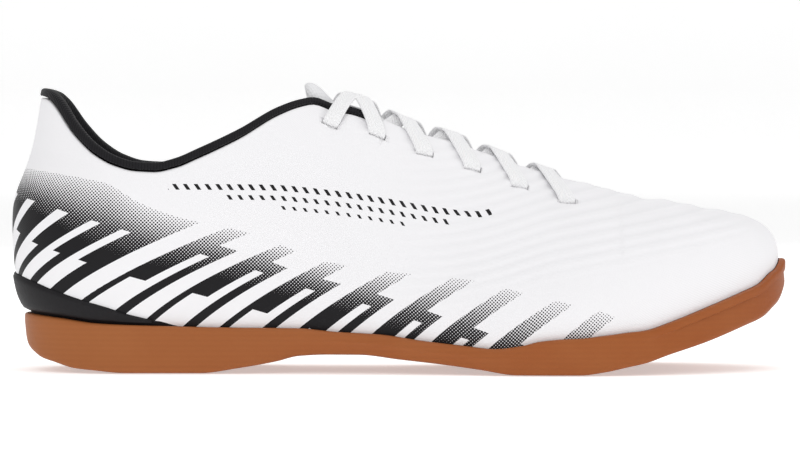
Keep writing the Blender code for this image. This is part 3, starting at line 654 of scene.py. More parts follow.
def makeSole():
    size = soleSize
    x = outer[:, 0]
    s = shareOf(x)
    tuck = size["waistTuck"] * archCurve(s)
    step = size["stepDepth"] * np.clip((s - size["stepStart"]) / size["stepFade"], 0, 1)
    low = size["groundEdge"] + tuck
    high = size["draft"] + size["tuckAbove"] * tuck

    def ring(away, height):
        flat = outer - outward * np.broadcast_to(away, x.shape)[:, None]
        return np.column_stack([flat, height(flat[:, 0])])

    rings = []
    for turn in np.linspace(0, 1, size["roundSteps"]):  # rounded lower edge
        angle = turn * math.pi / 2
        away = low + (high - low) * math.sin(angle)
        lift = size["groundEdge"] * (1 - math.cos(angle))
        rings.append(ring(away, lambda fx, lift=lift: ground(fx) + lift))
    bottom = rings[-1][:, 2]
    top = rim(x) - size["stepDrop"] - size["stepDepth"] / 2
    for t in np.linspace(0, 1, size["wallSteps"])[1:]:  # side wall
        away = high + (step - high) * t
        rings.append(ring(away, lambda fx, t=t: bottom + (top - bottom) * t))
    lines = (
        (step * 0.5, -size["stepDrop"] - size["stepDepth"] * 0.15), (0.0, -size["stepDrop"]),
        (0.0, -size["stepDrop"] * 0.66), (0.0, -size["bevel"]), (size["bevel"] * 0.14, -size["bevel"] * 0.5),
        (size["bevel"] * 0.5, -size["bevel"] * 0.14), (size["bevel"], 0.0), (size["wall"], 0.0),
    )
    for away, drop in lines:
        rings.append(ring(away, lambda fx, drop=drop: rim(x) + drop))
    rings.append(ring(size["wall"], footBed))
    index = np.arange(len(rings) * loopCount).reshape(len(rings), loopCount)
    faces = gridFaces(np.column_stack([index, index[:, 0]]))
    last = len(rings) - 1
    faces += gridFaces(spanLoop(rings, 0, ground, size["spans"]))
    faces += gridFaces(spanLoop(rings, last, footBed, size["spans"]), flip=True)
    return addMesh("cupSole", np.concatenate(rings), faces, makeRubber(), smoothAngle=size["smoothAngle"])


def cutTread(sole):
    size = soleSize
    look = sole.data.materials[0]
    step = form["probe"]
    places = []
    for s in size["treadRows"]:
        x = heelX + s * soleLength
        tilt = math.atan((ground(x + step) - ground(x - step)) / (2 * step))
        turn = np.array(Matrix.Rotation(-tilt, 3, "Y")).T
        lengths = (size["treadWidth"], 2 * halfWidth(s) * size["treadReach"], 2 * size["treadDepth"])
        places.append((lengths, turn, (x, centreOf(s) * form["ballWidth"], ground(x))))
    cutWith(sole, addMesh("treadCut", *boxCuts(places), look))
    # ring groove under the ball of the foot
    turns = size["pivotTurns"]
    near = size["pivotRadius"] - size["treadWidth"] / 2
    far = size["pivotRadius"] + size["treadWidth"] / 2
    bottom, top = -2 * size["treadDepth"], size["treadDepth"]
    rows = []
    for k in range(turns):
        angle = 2 * math.pi * k / turns
        for r, z in ((near, bottom), (far, bottom), (far, top), (near, top)):
            x = size["pivotX"] + r * math.cos(angle)
            rows.append((x, size["pivotY"] + r * math.sin(angle), ground(x) + z))
    index = np.arange(len(rows)).reshape(turns, -1)
    index = np.column_stack([index, index[:, 0]])
    index = np.vstack([index, index[:1]])
    cutWith(sole, addMesh("pivotCut", rows, gridFaces(index, flip=True), look))
    sole.data.shade_smooth()
    sole.data.set_sharp_from_angle(angle=math.radians(size["smoothAngle"]))


sole = makeSole()
cutTread(sole)
addPiece(sole, "outsole")
print("sole:", len(sole.data.polygons), "faces")

# black wedge at the foot of the heel; the print goes on from its front end
wedgeSize = {
    "thickness": 0.0008, "height": 0.0150, "reach": 0.0500, "foot": 0.0012, "least": 0.0012,
    "clear": 0.0003, "rows": 10, "edge": 0.12,
    "dark": (0.006, 0.0055, 0.0065, 1), "pale": (0.014, 0.013, 0.015, 1), "relief": 0.00008,
    "shape": (
        (0.00, 1.00), (0.14, 0.84), (0.29, 0.67), (0.45, 0.55), (0.62, 0.43), (0.78, 0.28), (1.00, 0.12),
    ),
}

# printed side of the upper: slanted stepped stripes that break up into dots
printed = {
    # guide lines, each the near edge of a stripe: its number, distance round the foot where it is
    # 30 mm up, its run per rise there and how fast that grows
    "guides": (
        (-5.0, -0.1862, 0.80, 0.0), (-4.0, -0.1752, 0.90, 0.0), (-3.0, -0.1642, 1.00, 3.0),
        (-2.0, -0.1532, 1.05, 13.5), (-1.0, -0.1420, 1.15, 18.8), (0.0, -0.1285, 1.29, 22.6),
        (1.0, -0.1104, 1.62, 21.3), (2.0, -0.0775, 1.65, 25.7), (3.0, -0.0465, 1.66, 18.0),
        (4.0, -0.0172, 1.64, 16.0), (5.0, 0.0106, 1.60, 16.0), (6.0, 0.0356, 1.68, 18.0),
        (7.0, 0.0613, 1.78, 15.0), (8.0, 0.0822, 1.61, 12.0), (9.0, 0.1040, 1.50, 10.0),
        (10.0, 0.1300, 1.50, 10.0),
    ),
    "guideHeight": 0.0300,
    # distance round the foot and height of each line: where stripes step out to blocks, where solid
    # ink starts to break up, where the slits close, where the ink is gone, and the row of ticks
    "step": (
        (-0.1570, 0.0560), (-0.1430, 0.0505), (-0.1343, 0.0470), (-0.1248, 0.0440), (-0.1144, 0.0405),
        (-0.0959, 0.0346), (-0.0722, 0.0283), (-0.0508, 0.0224), (-0.0336, 0.0166), (-0.0150, 0.0060),
        (0.0200, -0.0100), (0.1430, -0.0300),
    ),
    "solid": (
        (-0.1570, 0.0630), (-0.1392, 0.0597), (-0.1248, 0.0531), (-0.1069, 0.0438), (-0.0930, 0.0394),
        (-0.0688, 0.0346), (-0.0470, 0.0283), (-0.0258, 0.0232), (-0.0058, 0.0166), (0.0122, 0.0100),
        (0.0300, 0.0020), (0.0600, -0.0090), (0.1430, -0.0300),
    ),
    "slit": (
        (-0.1570, 0.0660), (-0.1291, 0.0610), (-0.1203, 0.0581), (-0.1107, 0.0552), (-0.0988, 0.0516),
        (-0.0739, 0.0437), (-0.0526, 0.0374), (-0.0336, 0.0306), (-0.0138, 0.0253), (0.0062, 0.0189),
        (0.0242, 0.0124), (0.0600, 0.0010), (0.1430, -0.0200),
    ),
    "gone": (
        (-0.1570, 0.0762), (-0.1477, 0.0758), (-0.1082, 0.0726), (-0.0945, 0.0650), (-0.0869, 0.0615),
        (-0.0756, 0.0580), (-0.0545, 0.0535), (-0.0394, 0.0475), (-0.0258, 0.0425), (-0.0018, 0.0395),
        (0.0282, 0.0375), (0.0457, 0.0335), (0.0625, 0.0300), (0.0766, 0.0262), (0.0850, 0.0180),
        (0.0910, 0.0000), (0.1430, 0.0000),
    ),
    "ticks": (
        (-0.110, 0.0675), (-0.0826, 0.0675), (-0.0482, 0.0672), (-0.0272, 0.0654), (-0.0046, 0.0621),
        (0.0163, 0.0585), (0.0280, 0.0575), (0.0335, 0.0586), (0.050, 0.0620),
    ),
    # rows of ticks: drop below the line, half height, share of the pitch that is inked, start, end
    "tickRows": (
        (0.0000, 0.00105, 0.36, -0.0840, 0.0330), (0.0037, 0.00085, 0.32, -0.0640, 0.0180),
        (0.0071, 0.00065, 0.28, -0.0440, 0.0030),
    ),
    "tickPitch": 0.0039, "tickSlant": 0.7, "wedgeEnd": -0.0790, "endAbove": 0.0050,
    # shares of the way from one guide to the next that are inked
    "line": 0.125, "lineBehind": 0.30, "lineAtHeel": -0.06, "block": 0.375, "blockAtHeel": 0.68,
    "second": (0.54, 0.71), "toeStripe": 0.42, "toeFrom": 7.0,
    # pitch of the dots, how they grow with the strength of the ink, and the least strength
    "dot": 0.00130, "dotGrowth": (0.82, 0.5), "weakest": 0.12,
    "ink": (0.0075, 0.0068, 0.0082, 1), "cloth": (0.875, 0.868, 0.885, 1),
    "cloud": (0.83, 0.825, 0.84, 1), "hollow": (0.62, 0.62, 0.64, 1), "knit": (0.0011, 0.0009),
    "relief": 0.00006,
}


def inkPlace(flat, points):
    # the layers that the skin reads: stripe number, strength of the ink and height over the step
    # line; height over the slit line, over the ticks and over the black heel wedge
    z = points[:, 2]
    rise = z - printed["guideHeight"]
    lines = [at + run * rise + more * rise ** 2 for _, at, run, more in printed["guides"]]
    number = np.full(len(z), printed["guides"][0][0])
    for near, far in zip(lines, lines[1:]):
        number += np.clip((flat - near) / np.maximum(far - near, 1e-4), 0.0, 1.0)
    solid, gone, step, slit, ticks = (curve(printed[line], 1)(flat)
                                      for line in ("solid", "gone", "step", "slit", "ticks"))
    level = np.clip((gone - z) / (gone - solid), 0.0, 1.0)
    x = np.repeat(outer[:, 0], len(z) // loopCount)
    filmEnd = heelX + wedgeSize["reach"]
    shape = curve(wedgeSize["shape"], 1)((x - heelX) / wedgeSize["reach"])
    shape = shape * (1 - smooth(x, filmEnd, printed["wedgeEnd"] - filmEnd))
    overWedge = z - rim(x) - wedgeSize["height"] * shape
    return np.column_stack([number, level, z - step]), np.column_stack([z - slit, z - ticks, overWedge])


def makeUpperSkin():
    made, shader, tree = startMaterial("coatedKnit", {"IOR": 1.45, "Specular IOR Level": 0.22,
                                                      "Sheen Weight": 0.04, "Sheen Roughness": 0.5})
    flat, height, _ = attribute(tree, "flat").split()
    number, level, overStep = attribute(tree, "ink").split()
    overSlit, overTicks, overWedge = attribute(tree, "over").split()
    hollow, _, printedSide = attribute(tree, "shade").split()
    # stripes: thin lines that step out to blocks, with a second thin stripe between them
    share = number.part()
    atHeel = number < 0.0
    ahead = number > 1.0
    behind = number < 1.0
    width = behind * printed["lineBehind"] + atHeel * printed["lineAtHeel"] + printed["line"]
    line = share < width
    block = (ahead * (share < printed["block"])).either(atHeel * (share > printed["blockAtHeel"]))
    block = block * (overStep > 0.0)
    toeStripe = (number > printed["toeFrom"]) * (share < printed["toeStripe"])
    low, high = printed["second"]
    underEnd = overSlit < printed["endAbove"]
    second = ahead * (number < printed["toeFrom"]) * (share > low) * (share < high) * underEnd
    closed = (overSlit > 0.0) * underEnd * ahead * (share < high)
    field = (overSlit > 0.0) * atHeel
    shape = line.either(block).either(toeStripe).either(second).either(closed).either(field)
    # dots, on a grid turned half a right angle
    across = ((flat + height) * (1 / printed["dot"])).part() - 0.5
    along = ((flat - height) * (1 / printed["dot"])).part() - 0.5
    far = across * across + along * along
    least, full = printed["dotGrowth"]
    ink = shape * (far < level * level.either(least) * full) * (level > printed["weakest"])
    # slanted ticks
    for drop, half, thick, start, end in printed["tickRows"]:
        place = overTicks + drop
        tick = ((flat + place * printed["tickSlant"]) * (1 / printed["tickPitch"])).part() < thick
        ink = ink.either(tick * (place.size() < half) * (flat > start) * (flat < end))
    ink = ink.either(overWedge < 0.0) * printedSide
    # cloth, with painted shade in the hollows between the ribs
    knit = (flat.wave(printed["knit"][0]) * height.wave(printed["knit"][1]) + 1) * 0.5
    cloud = noise(tree, 60.0, 3.0)
    cloth = mixColour((cloud - 0.4) * 0.5, printed["cloth"], printed["cloud"])
    cloth = mixColour(hollow, cloth, printed["hollow"])
    base = mixColour(ink, cloth, printed["ink"])
    surface = bump(knit + ink * 0.8, printed["relief"], 0.5)
    feed(shader, tree, Base_Color=base, Roughness=0.56 - ink * 0.10 + cloud * 0.08, Normal=surface)
    return made


lining = {
    "hole": (0.020, 0.020, 0.023, 1), "thread": (0.050, 0.050, 0.054, 1), "pitch": 0.0022,
    "relief": 0.00012,
}


def makeLining():
    made, shader, tree = startMaterial("liningMesh", {"Specular IOR Level": 0.2})
    flat, height, _ = attribute(tree, "flat").split()
    holes = flat.wave(lining["pitch"]) * height.wave(lining["pitch"])
    base = mixColour(holes * 0.5 + 0.5, lining["hole"], lining["thread"])
    surface = bump(holes, lining["relief"], 0.8)
    feed(shader, tree, Base_Color=base, Roughness=0.88 + holes * 0.05, Normal=surface)
    return made


upperSize = {
    "wall": 0.0018, "rows": 96, "cupRows": 3, "underBand": 0.0006, "bandWidth": 0.0030,
    "bandEnd": -0.0070, "rimSteps": 5, "rimRound": 0.4, "hollowShade": 0.10,
    # soft ribs over the forefoot; each fade is where it starts and its run
    "ribPitch": 0.0039, "ribHeight": 0.00030, "ribSlope": 0.19, "ribTurn": (0.0, 0.06), "ribLevel": 0.05,
    "ribStart": (-0.015, 0.055), "ribEnd": (0.112, 0.026), "ribFoot": (0.030, 0.010),
    # shallow fold where the forefoot bends
    "foldPlace": 0.062, "foldLean": 0.35, "foldLevel": 0.05, "foldWidth": 0.007, "foldDepth": 0.0003,
    "foldFade": (0.045, 0.02),
    "eyelets": 6, "eyeletTop": -0.0899 * form["length"], "eyeletPitch": 0.0608 * form["length"],
    "eyeletLength": 0.0062, "eyeletWidth": 0.0024, "eyeletDropTop": 0.0120, "eyeletDropLow": 0.0092,
}


def relief(points):
    # height of the ribs and of the fold above the plain form
    size = upperSize
    x, z = points[:, 0], points[:, 2]
    slope = size["ribSlope"] * smooth(x, *size["ribTurn"])
    phase = (z - slope * x) / size["ribPitch"]
    ribs = np.sin(2 * math.pi * phase) * size["ribHeight"]
    ribs *= smooth(x, *size["ribStart"]) * (1 - smooth(x, *size["ribEnd"]))
    ribs *= smooth(z - size["ribSlope"] * (x - size["ribLevel"]), *size["ribFoot"])
    away = (x - size["foldPlace"] + size["foldLean"] * (z - size["foldLevel"])) / size["foldWidth"]
    return ribs + np.exp(-away ** 2) * smooth(z, *size["foldFade"]) * -size["foldDepth"]


def makeUpper():
    size = upperSize
    closed = spines >= form["throatEnd"]
    banded = outer[:, 0] <= size["bandEnd"]
    rows = size["rows"]
    cup = size["cupRows"]
    total = cup + rows
    grid = np.zeros((loopCount, total, 3))
    arcUp = np.zeros((loopCount, total))
    for i in range(loopCount):
        top = edges[i]
        if banded[i]:
            top -= (size["bandWidth"] + size["underBand"]) * slopeFactor(i)
        if not closed[i]:
            top -= size["wall"] * size["rimRound"]
        low = footBed(foot[i][0]) + form["bedClear"]
        base = rim(outer[i][0])
        for j in range(cup):
            grid[i, j] = (*foot[i], low + (base - low) * j / cup)
        arcs = np.linspace(0, 1, rows) * top
        grid[i, cup:] = onSection(i, arcs)[0]
        arcUp[i, cup:] = arcs
    index = np.arange(loopCount * total).reshape(loopCount, total)
    for i in range(sideCount + 1, loopCount):
        if closed[i]:
            index[i, -1] = index[mirrorOf(i), -1]
    index = np.vstack([index, index[:1]])
    points = grid.reshape(-1, 3)
    outFaces = gridFaces(index)
    normals = vertexNormals(points, outFaces)
    if normals[index[sideCount // 2, rows // 2]][1] > 0:
        normals = -normals
    flat = np.repeat(unrolled, total)
    inner = points - normals * size["wall"]
    ink, over = inkPlace(flat, points)
    raised = relief(points)
    shown = points + normals * raised[:, None]
    count = len(points)
    faces = twoSided(outFaces, count)
    # rounded top edge wherever collar or throat is open, square foot inside the cup
    rimIndex = {}
    extra = []
    for i in range(loopCount):
        if closed[i]:
            continue
        a, b = index[i, -1], index[i, -2]
        up = points[a] - points[b]
        up /= np.linalg.norm(up)
        middle = (points[a] + inner[a]) / 2
        out = (points[a] - inner[a]) / 2
        line = [a]
        for k in range(1, size["rimSteps"]):
            angle = math.pi * k / size["rimSteps"]
            rise = up * math.sin(angle) * size["wall"] * size["rimRound"]
            extra.append(middle + out * math.cos(angle) + rise)
            line.append(2 * count + len(extra) - 1)
        line.append(a + count)
        rimIndex[i] = line
    for i in range(loopCount):
        j = (i + 1) % loopCount
        if i in rimIndex and j in rimIndex:
            for p, q, r, s in zip(rimIndex[i], rimIndex[j], rimIndex[j][1:], rimIndex[i][1:]):
                faces.append([p, q, r, s])
        elif i in rimIndex or j in rimIndex:  # end of the throat
            line = rimIndex.get(i) or rimIndex[j]
            tip = index[j, -1] if i in rimIndex else index[i, -1]
            for p, q in zip(line, line[1:]):
                faces.append([p, q, tip] if p != line[-2] else [p, q, tip + count, tip])
        a, b = index[i, 0], index[i + 1, 0]
        faces.append([b, a, a + count, b + count])
    spare = np.zeros((len(extra), 3))
    flatLayer = np.column_stack([flat, arcUp.ravel(), np.zeros(count)])
    # painted shade in the hollows between the forefoot ribs, deeper where the relief sinks
    hollow = np.clip(-raised / size["ribHeight"], 0, 1) * size["hollowShade"]
    shade = np.column_stack([hollow, np.zeros(count), np.ones(count)])
    blank = np.zeros((count, 3))
    layers = {
        "flat": np.concatenate([flatLayer, flatLayer, spare]),
        "ink": np.concatenate([ink, blank, spare]),
        "over": np.concatenate([over, blank, spare]),
        "shade": np.concatenate([shade, blank, spare]),
    }
    everything = np.concatenate([shown, inner, np.array(extra)])
    shell = addMesh("upperShell", everything, faces, makeUpperSkin(), layers, smoothAngle=60)
    shell.data.materials.append(makeLining())
    isInner = [int(all(count <= v < 2 * count for v in face)) for face in faces]
    shell.data.polygons.foreach_set("material_index", isInner[:len(shell.data.polygons)])
    return shell


def eyeletPlace(k, side):
    size = upperSize
    x = size["eyeletTop"] + k * size["eyeletPitch"]
    change = size["eyeletDropLow"] - size["eyeletDropTop"]
    drop = size["eyeletDropTop"] + change * k / (size["eyelets"] - 1)
    station = stationBehind(x)
    i = station if side < 0 else mirrorOf(station)
    points = sections[i][0]
    place = onSection(i, arcWhere(i, points[:, 2], points[-1, 2] - drop))[0][0]
    return x, side * math.hypot(place[0] - points[-1, 0], place[1] - points[-1, 1])


def cutEyelets(upper):
    size = upperSize
    lengths = (size["eyeletLength"], size["eyeletWidth"], 6 * size["wall"])
    places = []
    for side in (-1, 1):
        for k in range(size["eyelets"]):
            x, across = eyeletPlace(k, side)
            point, normal, along = surfaceAcross(x, across)
            sideways = np.cross(normal, along)
            sideways /= np.linalg.norm(sideways)
            places.append((lengths, np.array([np.cross(sideways, normal), sideways, normal]), point))
    cutWith(upper, addMesh("eyeletCut", *boxCuts(places), upper.data.materials[0]))


upper = makeUpper()
print("upper:", len(upper.data.polygons), "faces")
cutEyelets(upper)
addPiece(upper, "upper")
print("eyelets cut:", len(upper.data.polygons), "faces")


def weave(name, size, fixed):
    # cloth of crossing threads; "flat" holds metres along and across the piece
    made, shader, tree = startMaterial(name, fixed)
    along, across, _ = attribute(tree, "flat").split()
    threads = along.wave(size["pitch"]) * across.wave(size["pitch"] * 0.8)
    cloud = noise(tree, 90.0, 2.0)
    base = mixColour((threads * 0.5 + 0.5) * 0.5 + (cloud - 0.5) * 0.3, size["colour"], size["thread"])
    surface = bump(threads, size["relief"], 0.7)
    feed(shader, tree, Base_Color=base, Roughness=0.84 + cloud * 0.1, Normal=surface)
    return made


collarSize = {
    "bandWidth": upperSize["bandWidth"], "end": upperSize["bandEnd"],
    "padDepth": 0.0240, "padThickness": 0.0050, "behind": 0.0024,
    "padLeast": 0.0004, "profileSteps": 4, "padFrom": 5.5,
    # share of sole length, depth and thickness of the pad
    "pad": (
        (0.00, 1.00, 1.00), (0.24, 0.90, 1.00), (0.34, 0.45, 0.80), (0.40, 0.25, 0.62), (1.00, 0.25, 0.62),
    ),
    # way down from the edge and way out, for the binding; way down and way in, for the pad's face
    "binding": ((1.00, 0.04), (0.62, 0.11), (0.22, 0.07), (0.03, -0.10), (0.00, -0.36), (0.16, -0.66)),
    "face": ((0.10, 0.90), (0.26, 1.00), (0.55, 0.94), (0.82, 0.74), (1.00, 0.52)),
    "back": (1.00, 0.78, 0.56, 0.34),
    "dark": (0.006, 0.006, 0.007, 1), "pale": (0.022, 0.021, 0.024, 1), "ribPitch": (0.0011, 0.0010),
    "holePitch": 0.0024, "relief": 0.00012,
}


def smoothLoop(points, steps):
    # closed curve through the points
    count = len(points)
    found = []
    for k in range(count):
        p0, p1, p2, p3 = (points[(k + d) % count] for d in (-1, 0, 1, 2))
        for j in range(steps):
            t = j / steps
            found.append(0.5 * (2 * p1 + (p2 - p0) * t + (2 * p0 - 5 * p1 + 4 * p2 - p3) * t * t
                                + (3 * p1 - p0 - 3 * p2 + p3) * t ** 3))
    return found


def makeCollarKnit():
    made, shader, tree = startMaterial("collarKnit", {"Sheen Weight": 0.12, "Sheen Roughness": 0.4,
                                                      "Specular IOR Level": 0.2})
    along, across, pad = attribute(tree, "flat").split()
    size = collarSize
    ribs = along.wave(size["ribPitch"][0]) * (0.7 + 0.3 * across.wave(size["ribPitch"][1]))
    holes = along.wave(size["holePitch"]) * across.wave(size["holePitch"])
    onPad = pad > 0.5
    height = ribs * (1 - onPad) + holes * onPad
    cloud = noise(tree, 120.0, 2.0)
    base = mixColour((height * 0.5 + 0.5) * 0.5 + cloud * 0.3, size["dark"], size["pale"])
    surface = bump(height, size["relief"], 0.8)
    feed(shader, tree, Base_Color=base, Roughness=0.86 + cloud * 0.1, Normal=surface)
    return made


def makeCollar():
    size = collarSize
    depthOf = curve(size["pad"], 1)
    thickOf = curve(size["pad"], 2)
    rows, layers = [], []
    travelled = 0.0
    for i in roundHeel(size["end"]):
        s = shareOf(outer[i][0])
        scale = slopeFactor(i)
        depth = size["padDepth"] * depthOf(s)
        thick = size["padThickness"] * thickOf(s)
        arcs = [edges[i] - down * size["bandWidth"] * scale for down, _ in size["binding"]]
        outs = [out * (size["padThickness"] if out > 0 else thick) for _, out in size["binding"]]
        arcs += [edges[i] - down * depth for down, _ in size["face"]]
        outs += [-max(inward * thick, size["behind"] + size["padLeast"]) for _, inward in size["face"]]
        arcs += [edges[i] - down * depth for down in size["back"]] + [edges[i] - size["bandWidth"] * scale]
        outs += [-size["behind"]] * (len(size["back"]) + 1)
        points, normals = onSection(i, np.array(arcs))
        profile = smoothLoop(points + normals * np.array(outs)[:, None], size["profileSteps"])
        if rows:
            travelled += np.linalg.norm(profile[0] - rows[-1][0])
        run = np.concatenate([[0], np.cumsum(np.linalg.norm(np.diff(profile, axis=0), axis=1))])
        isPad = np.arange(len(profile)) >= size["padFrom"] * size["profileSteps"]
        rows.append(profile)
        layers.append(np.column_stack([np.full(len(profile), travelled), run, isPad]))
    width = len(rows[0])
    index = np.arange(len(rows) * width).reshape(len(rows), width)
    index = np.column_stack([index, index[:, 0]])
    faces = gridFaces(index) + [list(index[0, :-1])[::-1], list(index[-1, :-1])]
    return addMesh("collarBinding", np.concatenate(rows), faces, makeCollarKnit(),
                   {"flat": np.concatenate(layers)}, smoothAngle=60)


collar = makeCollar()
addPiece(collar, "collar")
print("collar:", len(collar.data.polygons), "faces")

tongueSize = {
    "thickness": 0.0030, "top": -0.1206 * form["length"], "foot": 0.325 * form["length"],
    "halfWidth": 0.0215, "round": 0.0110, "footRound": 0.0100, "taper": 0.25, "steps": 130, "across": 40,
    # how far it lies under upper and lace, and how it rises to its peak behind "free"
    "lace": 0.0012, "clear": 0.0009, "free": -0.0787 * form["length"], "lift": 0.0010, "rise": 1.8,
    "domeHalf": 0.0080, "domePower": 0.62, "soften": 0.0120,
    # rounded tip and thin rolled border
    "tipRound": 0.0070, "tipDrop": 0.0022, "inTip": 0.0008, "edge": 0.10, "edgeThick": 0.30, "swell": 0.0002,
    "colour": (0.83, 0.83, 0.84, 1), "thread": (0.74, 0.74, 0.76, 1), "pitch": 0.0016, "relief": 0.00012,
}


def tongueDrop(x, across):
    size = tongueSize
    under = upperSize["wall"] + size["lace"] + size["clear"]
    free = np.clip((size["free"] - x) / (size["free"] - size["top"]), 0.0, 1.0)
    free = 1 - (1 - free) ** size["rise"]
    middle = max(0.0, 1 - (across / size["domeHalf"]) ** 2) ** size["domePower"]
    return under - (under + size["lift"]) * free * middle


def makeTongue():
    size = tongueSize
    rows, layers = [], []
    for k in range(size["steps"] + 1):
        up = upright(size["top"] + (size["foot"] - size["top"]) * k / size["steps"], size["soften"])
        for across in np.sin(np.linspace(-1, 1, size["across"] + 1) * math.pi / 2):
            top = size["top"] + size["round"] * across ** 2
            low = size["foot"] - size["footRound"] * across ** 2
            x = top + (low - top) * k / size["steps"]
            wide = size["halfWidth"] * (1 - size["taper"] * k / size["steps"]) * across
            point, normal, _ = surfaceAcross(x, wide)
            normal = softened(normal, up, wide, size["soften"])
            rows.append(point - normal * tongueDrop(x, wide))
            layers.append((x, wide, 1 - abs(across)))
    rows, layers = np.array(rows), np.array(layers)
    index = np.arange(len(rows)).reshape(size["steps"] + 1, size["across"] + 1)
    faces = gridFaces(index)
    normals = vertexNormals(rows, faces)
    if normals[index[size["steps"] // 2, size["across"] // 2]][2] < 0:
        normals = -normals
    full = np.sqrt(1 - (1 - np.clip(layers[:, 2] / size["edge"], 0, 1)) ** 2)
    swell = size["swell"] * full
    thick = size["thickness"] * (size["edgeThick"] + (1 - size["edgeThick"]) * full)
    fromTip = layers[:, 0] - size["top"] - size["round"] * (layers[:, 1] / size["halfWidth"]) ** 2
    near = 1 - np.clip(fromTip / size["tipRound"], 0, 1)
    tip = size["tipDrop"] * (1 - np.sqrt(1 - near ** 2))
    outerFace = rows + normals * (swell - size["swell"] - tip)[:, None]
    innerFace = rows - normals * np.maximum(thick, tip + size["inTip"])[:, None]
    count = len(rows)
    faces = twoSided(faces, count)
    border = np.concatenate([index[0, :-1], index[:-1, -1], index[-1, :0:-1], index[:0:-1, 0]])
    for a, b in zip(border, np.roll(border, -1)):
        faces.append([b, a, a + count, b + count])
    look = weave("tongueMesh", size, {"Sheen Weight": 0.1})
    return addMesh("tonguePad", np.concatenate([outerFace, innerFace]), faces, look,
                   {"flat": np.concatenate([layers, layers])}, smoothAngle=60)


tongue = makeTongue()
addPiece(tongue, "tongue")
print("tongue:", len(tongue.data.polygons), "faces")

insoleSize = {
    "clear": 0.0051, "thickness": 0.0035, "spans": 24, "edge": 0.0010,
    "colour": (0.030, 0.030, 0.033, 1), "thread": (0.055, 0.054, 0.058, 1), "pitch": 0.0012,
    "relief": 0.00008,
}


def makeInsole():
    size = insoleSize
    top, edge = size["thickness"], size["edge"]
    low = footBed((outer - outward * size["clear"])[:, 0]) + form["bedClear"]
    steps = ((0.0, 0.0), (0.0, top - edge), (edge * 0.3, top - edge * 0.3), (edge, top))
    points = []
    for away, lift in steps:
        ring = outer - outward * (size["clear"] + away)
        points.append(np.column_stack([ring, low + lift]))
    index = np.arange(len(steps) * loopCount).reshape(len(steps), loopCount)
    faces = gridFaces(np.column_stack([index, index[:, 0]]))
    for start, lift, flip in ((0, 0.0, False), (len(steps) - 1, top, True)):
        def heightAt(x, lift=lift):
            return footBed(x) + form["bedClear"] + lift

        faces += gridFaces(spanLoop(points, start, heightAt, size["spans"]), flip=flip)
    points = np.concatenate(points)
    look = weave("sockLiner", size, {"Sheen Weight": 0.1})
    return addMesh("sockLinerPad", points, faces, look, {"flat": points}, smoothAngle=50)


insole = makeInsole()
addPiece(insole, "insole")
print("insole:", len(insole.data.polygons), "faces")


def makeWedgeFilm():
    made, shader, tree = startMaterial("heelFilm", {"Specular IOR Level": 0.20})
    cloud = noise(tree, 900.0, 2.0)
    base = mixColour(cloud, wedgeSize["dark"], wedgeSize["pale"])
    surface = bump(cloud, wedgeSize["relief"], 0.6)
    feed(shader, tree, Base_Color=base, Roughness=0.46 + cloud * 0.2, Normal=surface)
    return made


def makeWedge():
    size = wedgeSize
    shape = curve(size["shape"], 1)
    stations = roundHeel(heelX + size["reach"])
    under, over = [], []
    for i in stations:
        points = sections[i][0]
        low = rim(outer[i][0]) + size["foot"]
        high = rim(outer[i][0]) + size["height"] * shape((outer[i][0] - heelX) / size["reach"])
        arcs = [arcWhere(i, points[:, 2], low + max(high - low, size["least"]) * j / size["rows"])
                for j in range(size["rows"] + 1)]
        place, normal = onSection(i, np.array(arcs))
        share = np.arange(size["rows"] + 1) / size["rows"]
        inEdge = np.clip(1 - np.minimum(share, 1 - share) / size["edge"], 0, 1)
        proud = size["thickness"] * np.sqrt(1 - inEdge ** 2)
        under.append(place + normal * size["clear"])
        over.append(place + normal * (size["clear"] + proud)[:, None])
    points = np.concatenate([np.concatenate(over), np.concatenate(under)])
    index = np.arange(len(points) // 2).reshape(len(stations), -1)
    faces = gridFaces(index)
    count = len(points) // 2
    faces = twoSided(faces, count)
    for line in (index[0], index[-1]):
        for a, b in zip(line, line[1:]):
            faces.append([a, b, b + count, a + count])
    return addMesh("heelWedge", points, faces, makeWedgeFilm(), smoothAngle=60)


wedge = makeWedge()
addPiece(wedge, "heel_counter")
print("heel wedge:", len(wedge.data.polygons), "faces")

laceSize = {
    "width": 0.0060, "thickness": tongueSize["lace"], "clear": 0.00045, "tuck": 0.4, "sink": 0.0010,
    "bandProud": 0.0007, "bandRun": 0.0080, "lift": 0.0001, "steps": 34,
    # heights above the upper on the way up through the first slot and down through the last
    "rise": (-0.0032, -0.0022, -0.0012, -0.0004), "fall": (0.0006, -0.0004, -0.0014, -0.0026),
    # where it turns over the slot's edge: height above the upper and way out
    "bend": (0.0005, 0.0001),
    # section: points round it, how square it is across and in thickness, rings along a run
    "round": 16, "square": (0.35, 0.75), "rings": 90, "passes": (2, 3),
    "dark": (0.88, 0.875, 0.89, 1), "pale": (0.94, 0.94, 0.945, 1), "pitch": 0.0012, "relief": 0.00014,
}


def laceHeight(x, across, overTop):
    # underside of the lace: on the near eyestay, sunk over the tongue, under the far eyestay
    size = laceSize
    edge = form["throatWidth"] * throatHalf(shareOf(x))
    overBand = smooth(collarSize["end"] - x, -size["bandRun"] / 2, size["bandRun"])
    proud = size["clear"] + size["bandProud"] * overBand
    if across > 0 or overTop:
        return -size["sink"] + (proud + size["sink"]) * smooth(abs(across), 0.0, edge - size["width"] / 2)
    under = size["clear"] - tongueDrop(x, across)
    return -size["sink"] + (under + size["sink"]) * smooth(-across, 0.0, edge - size["width"] * size["tuck"])


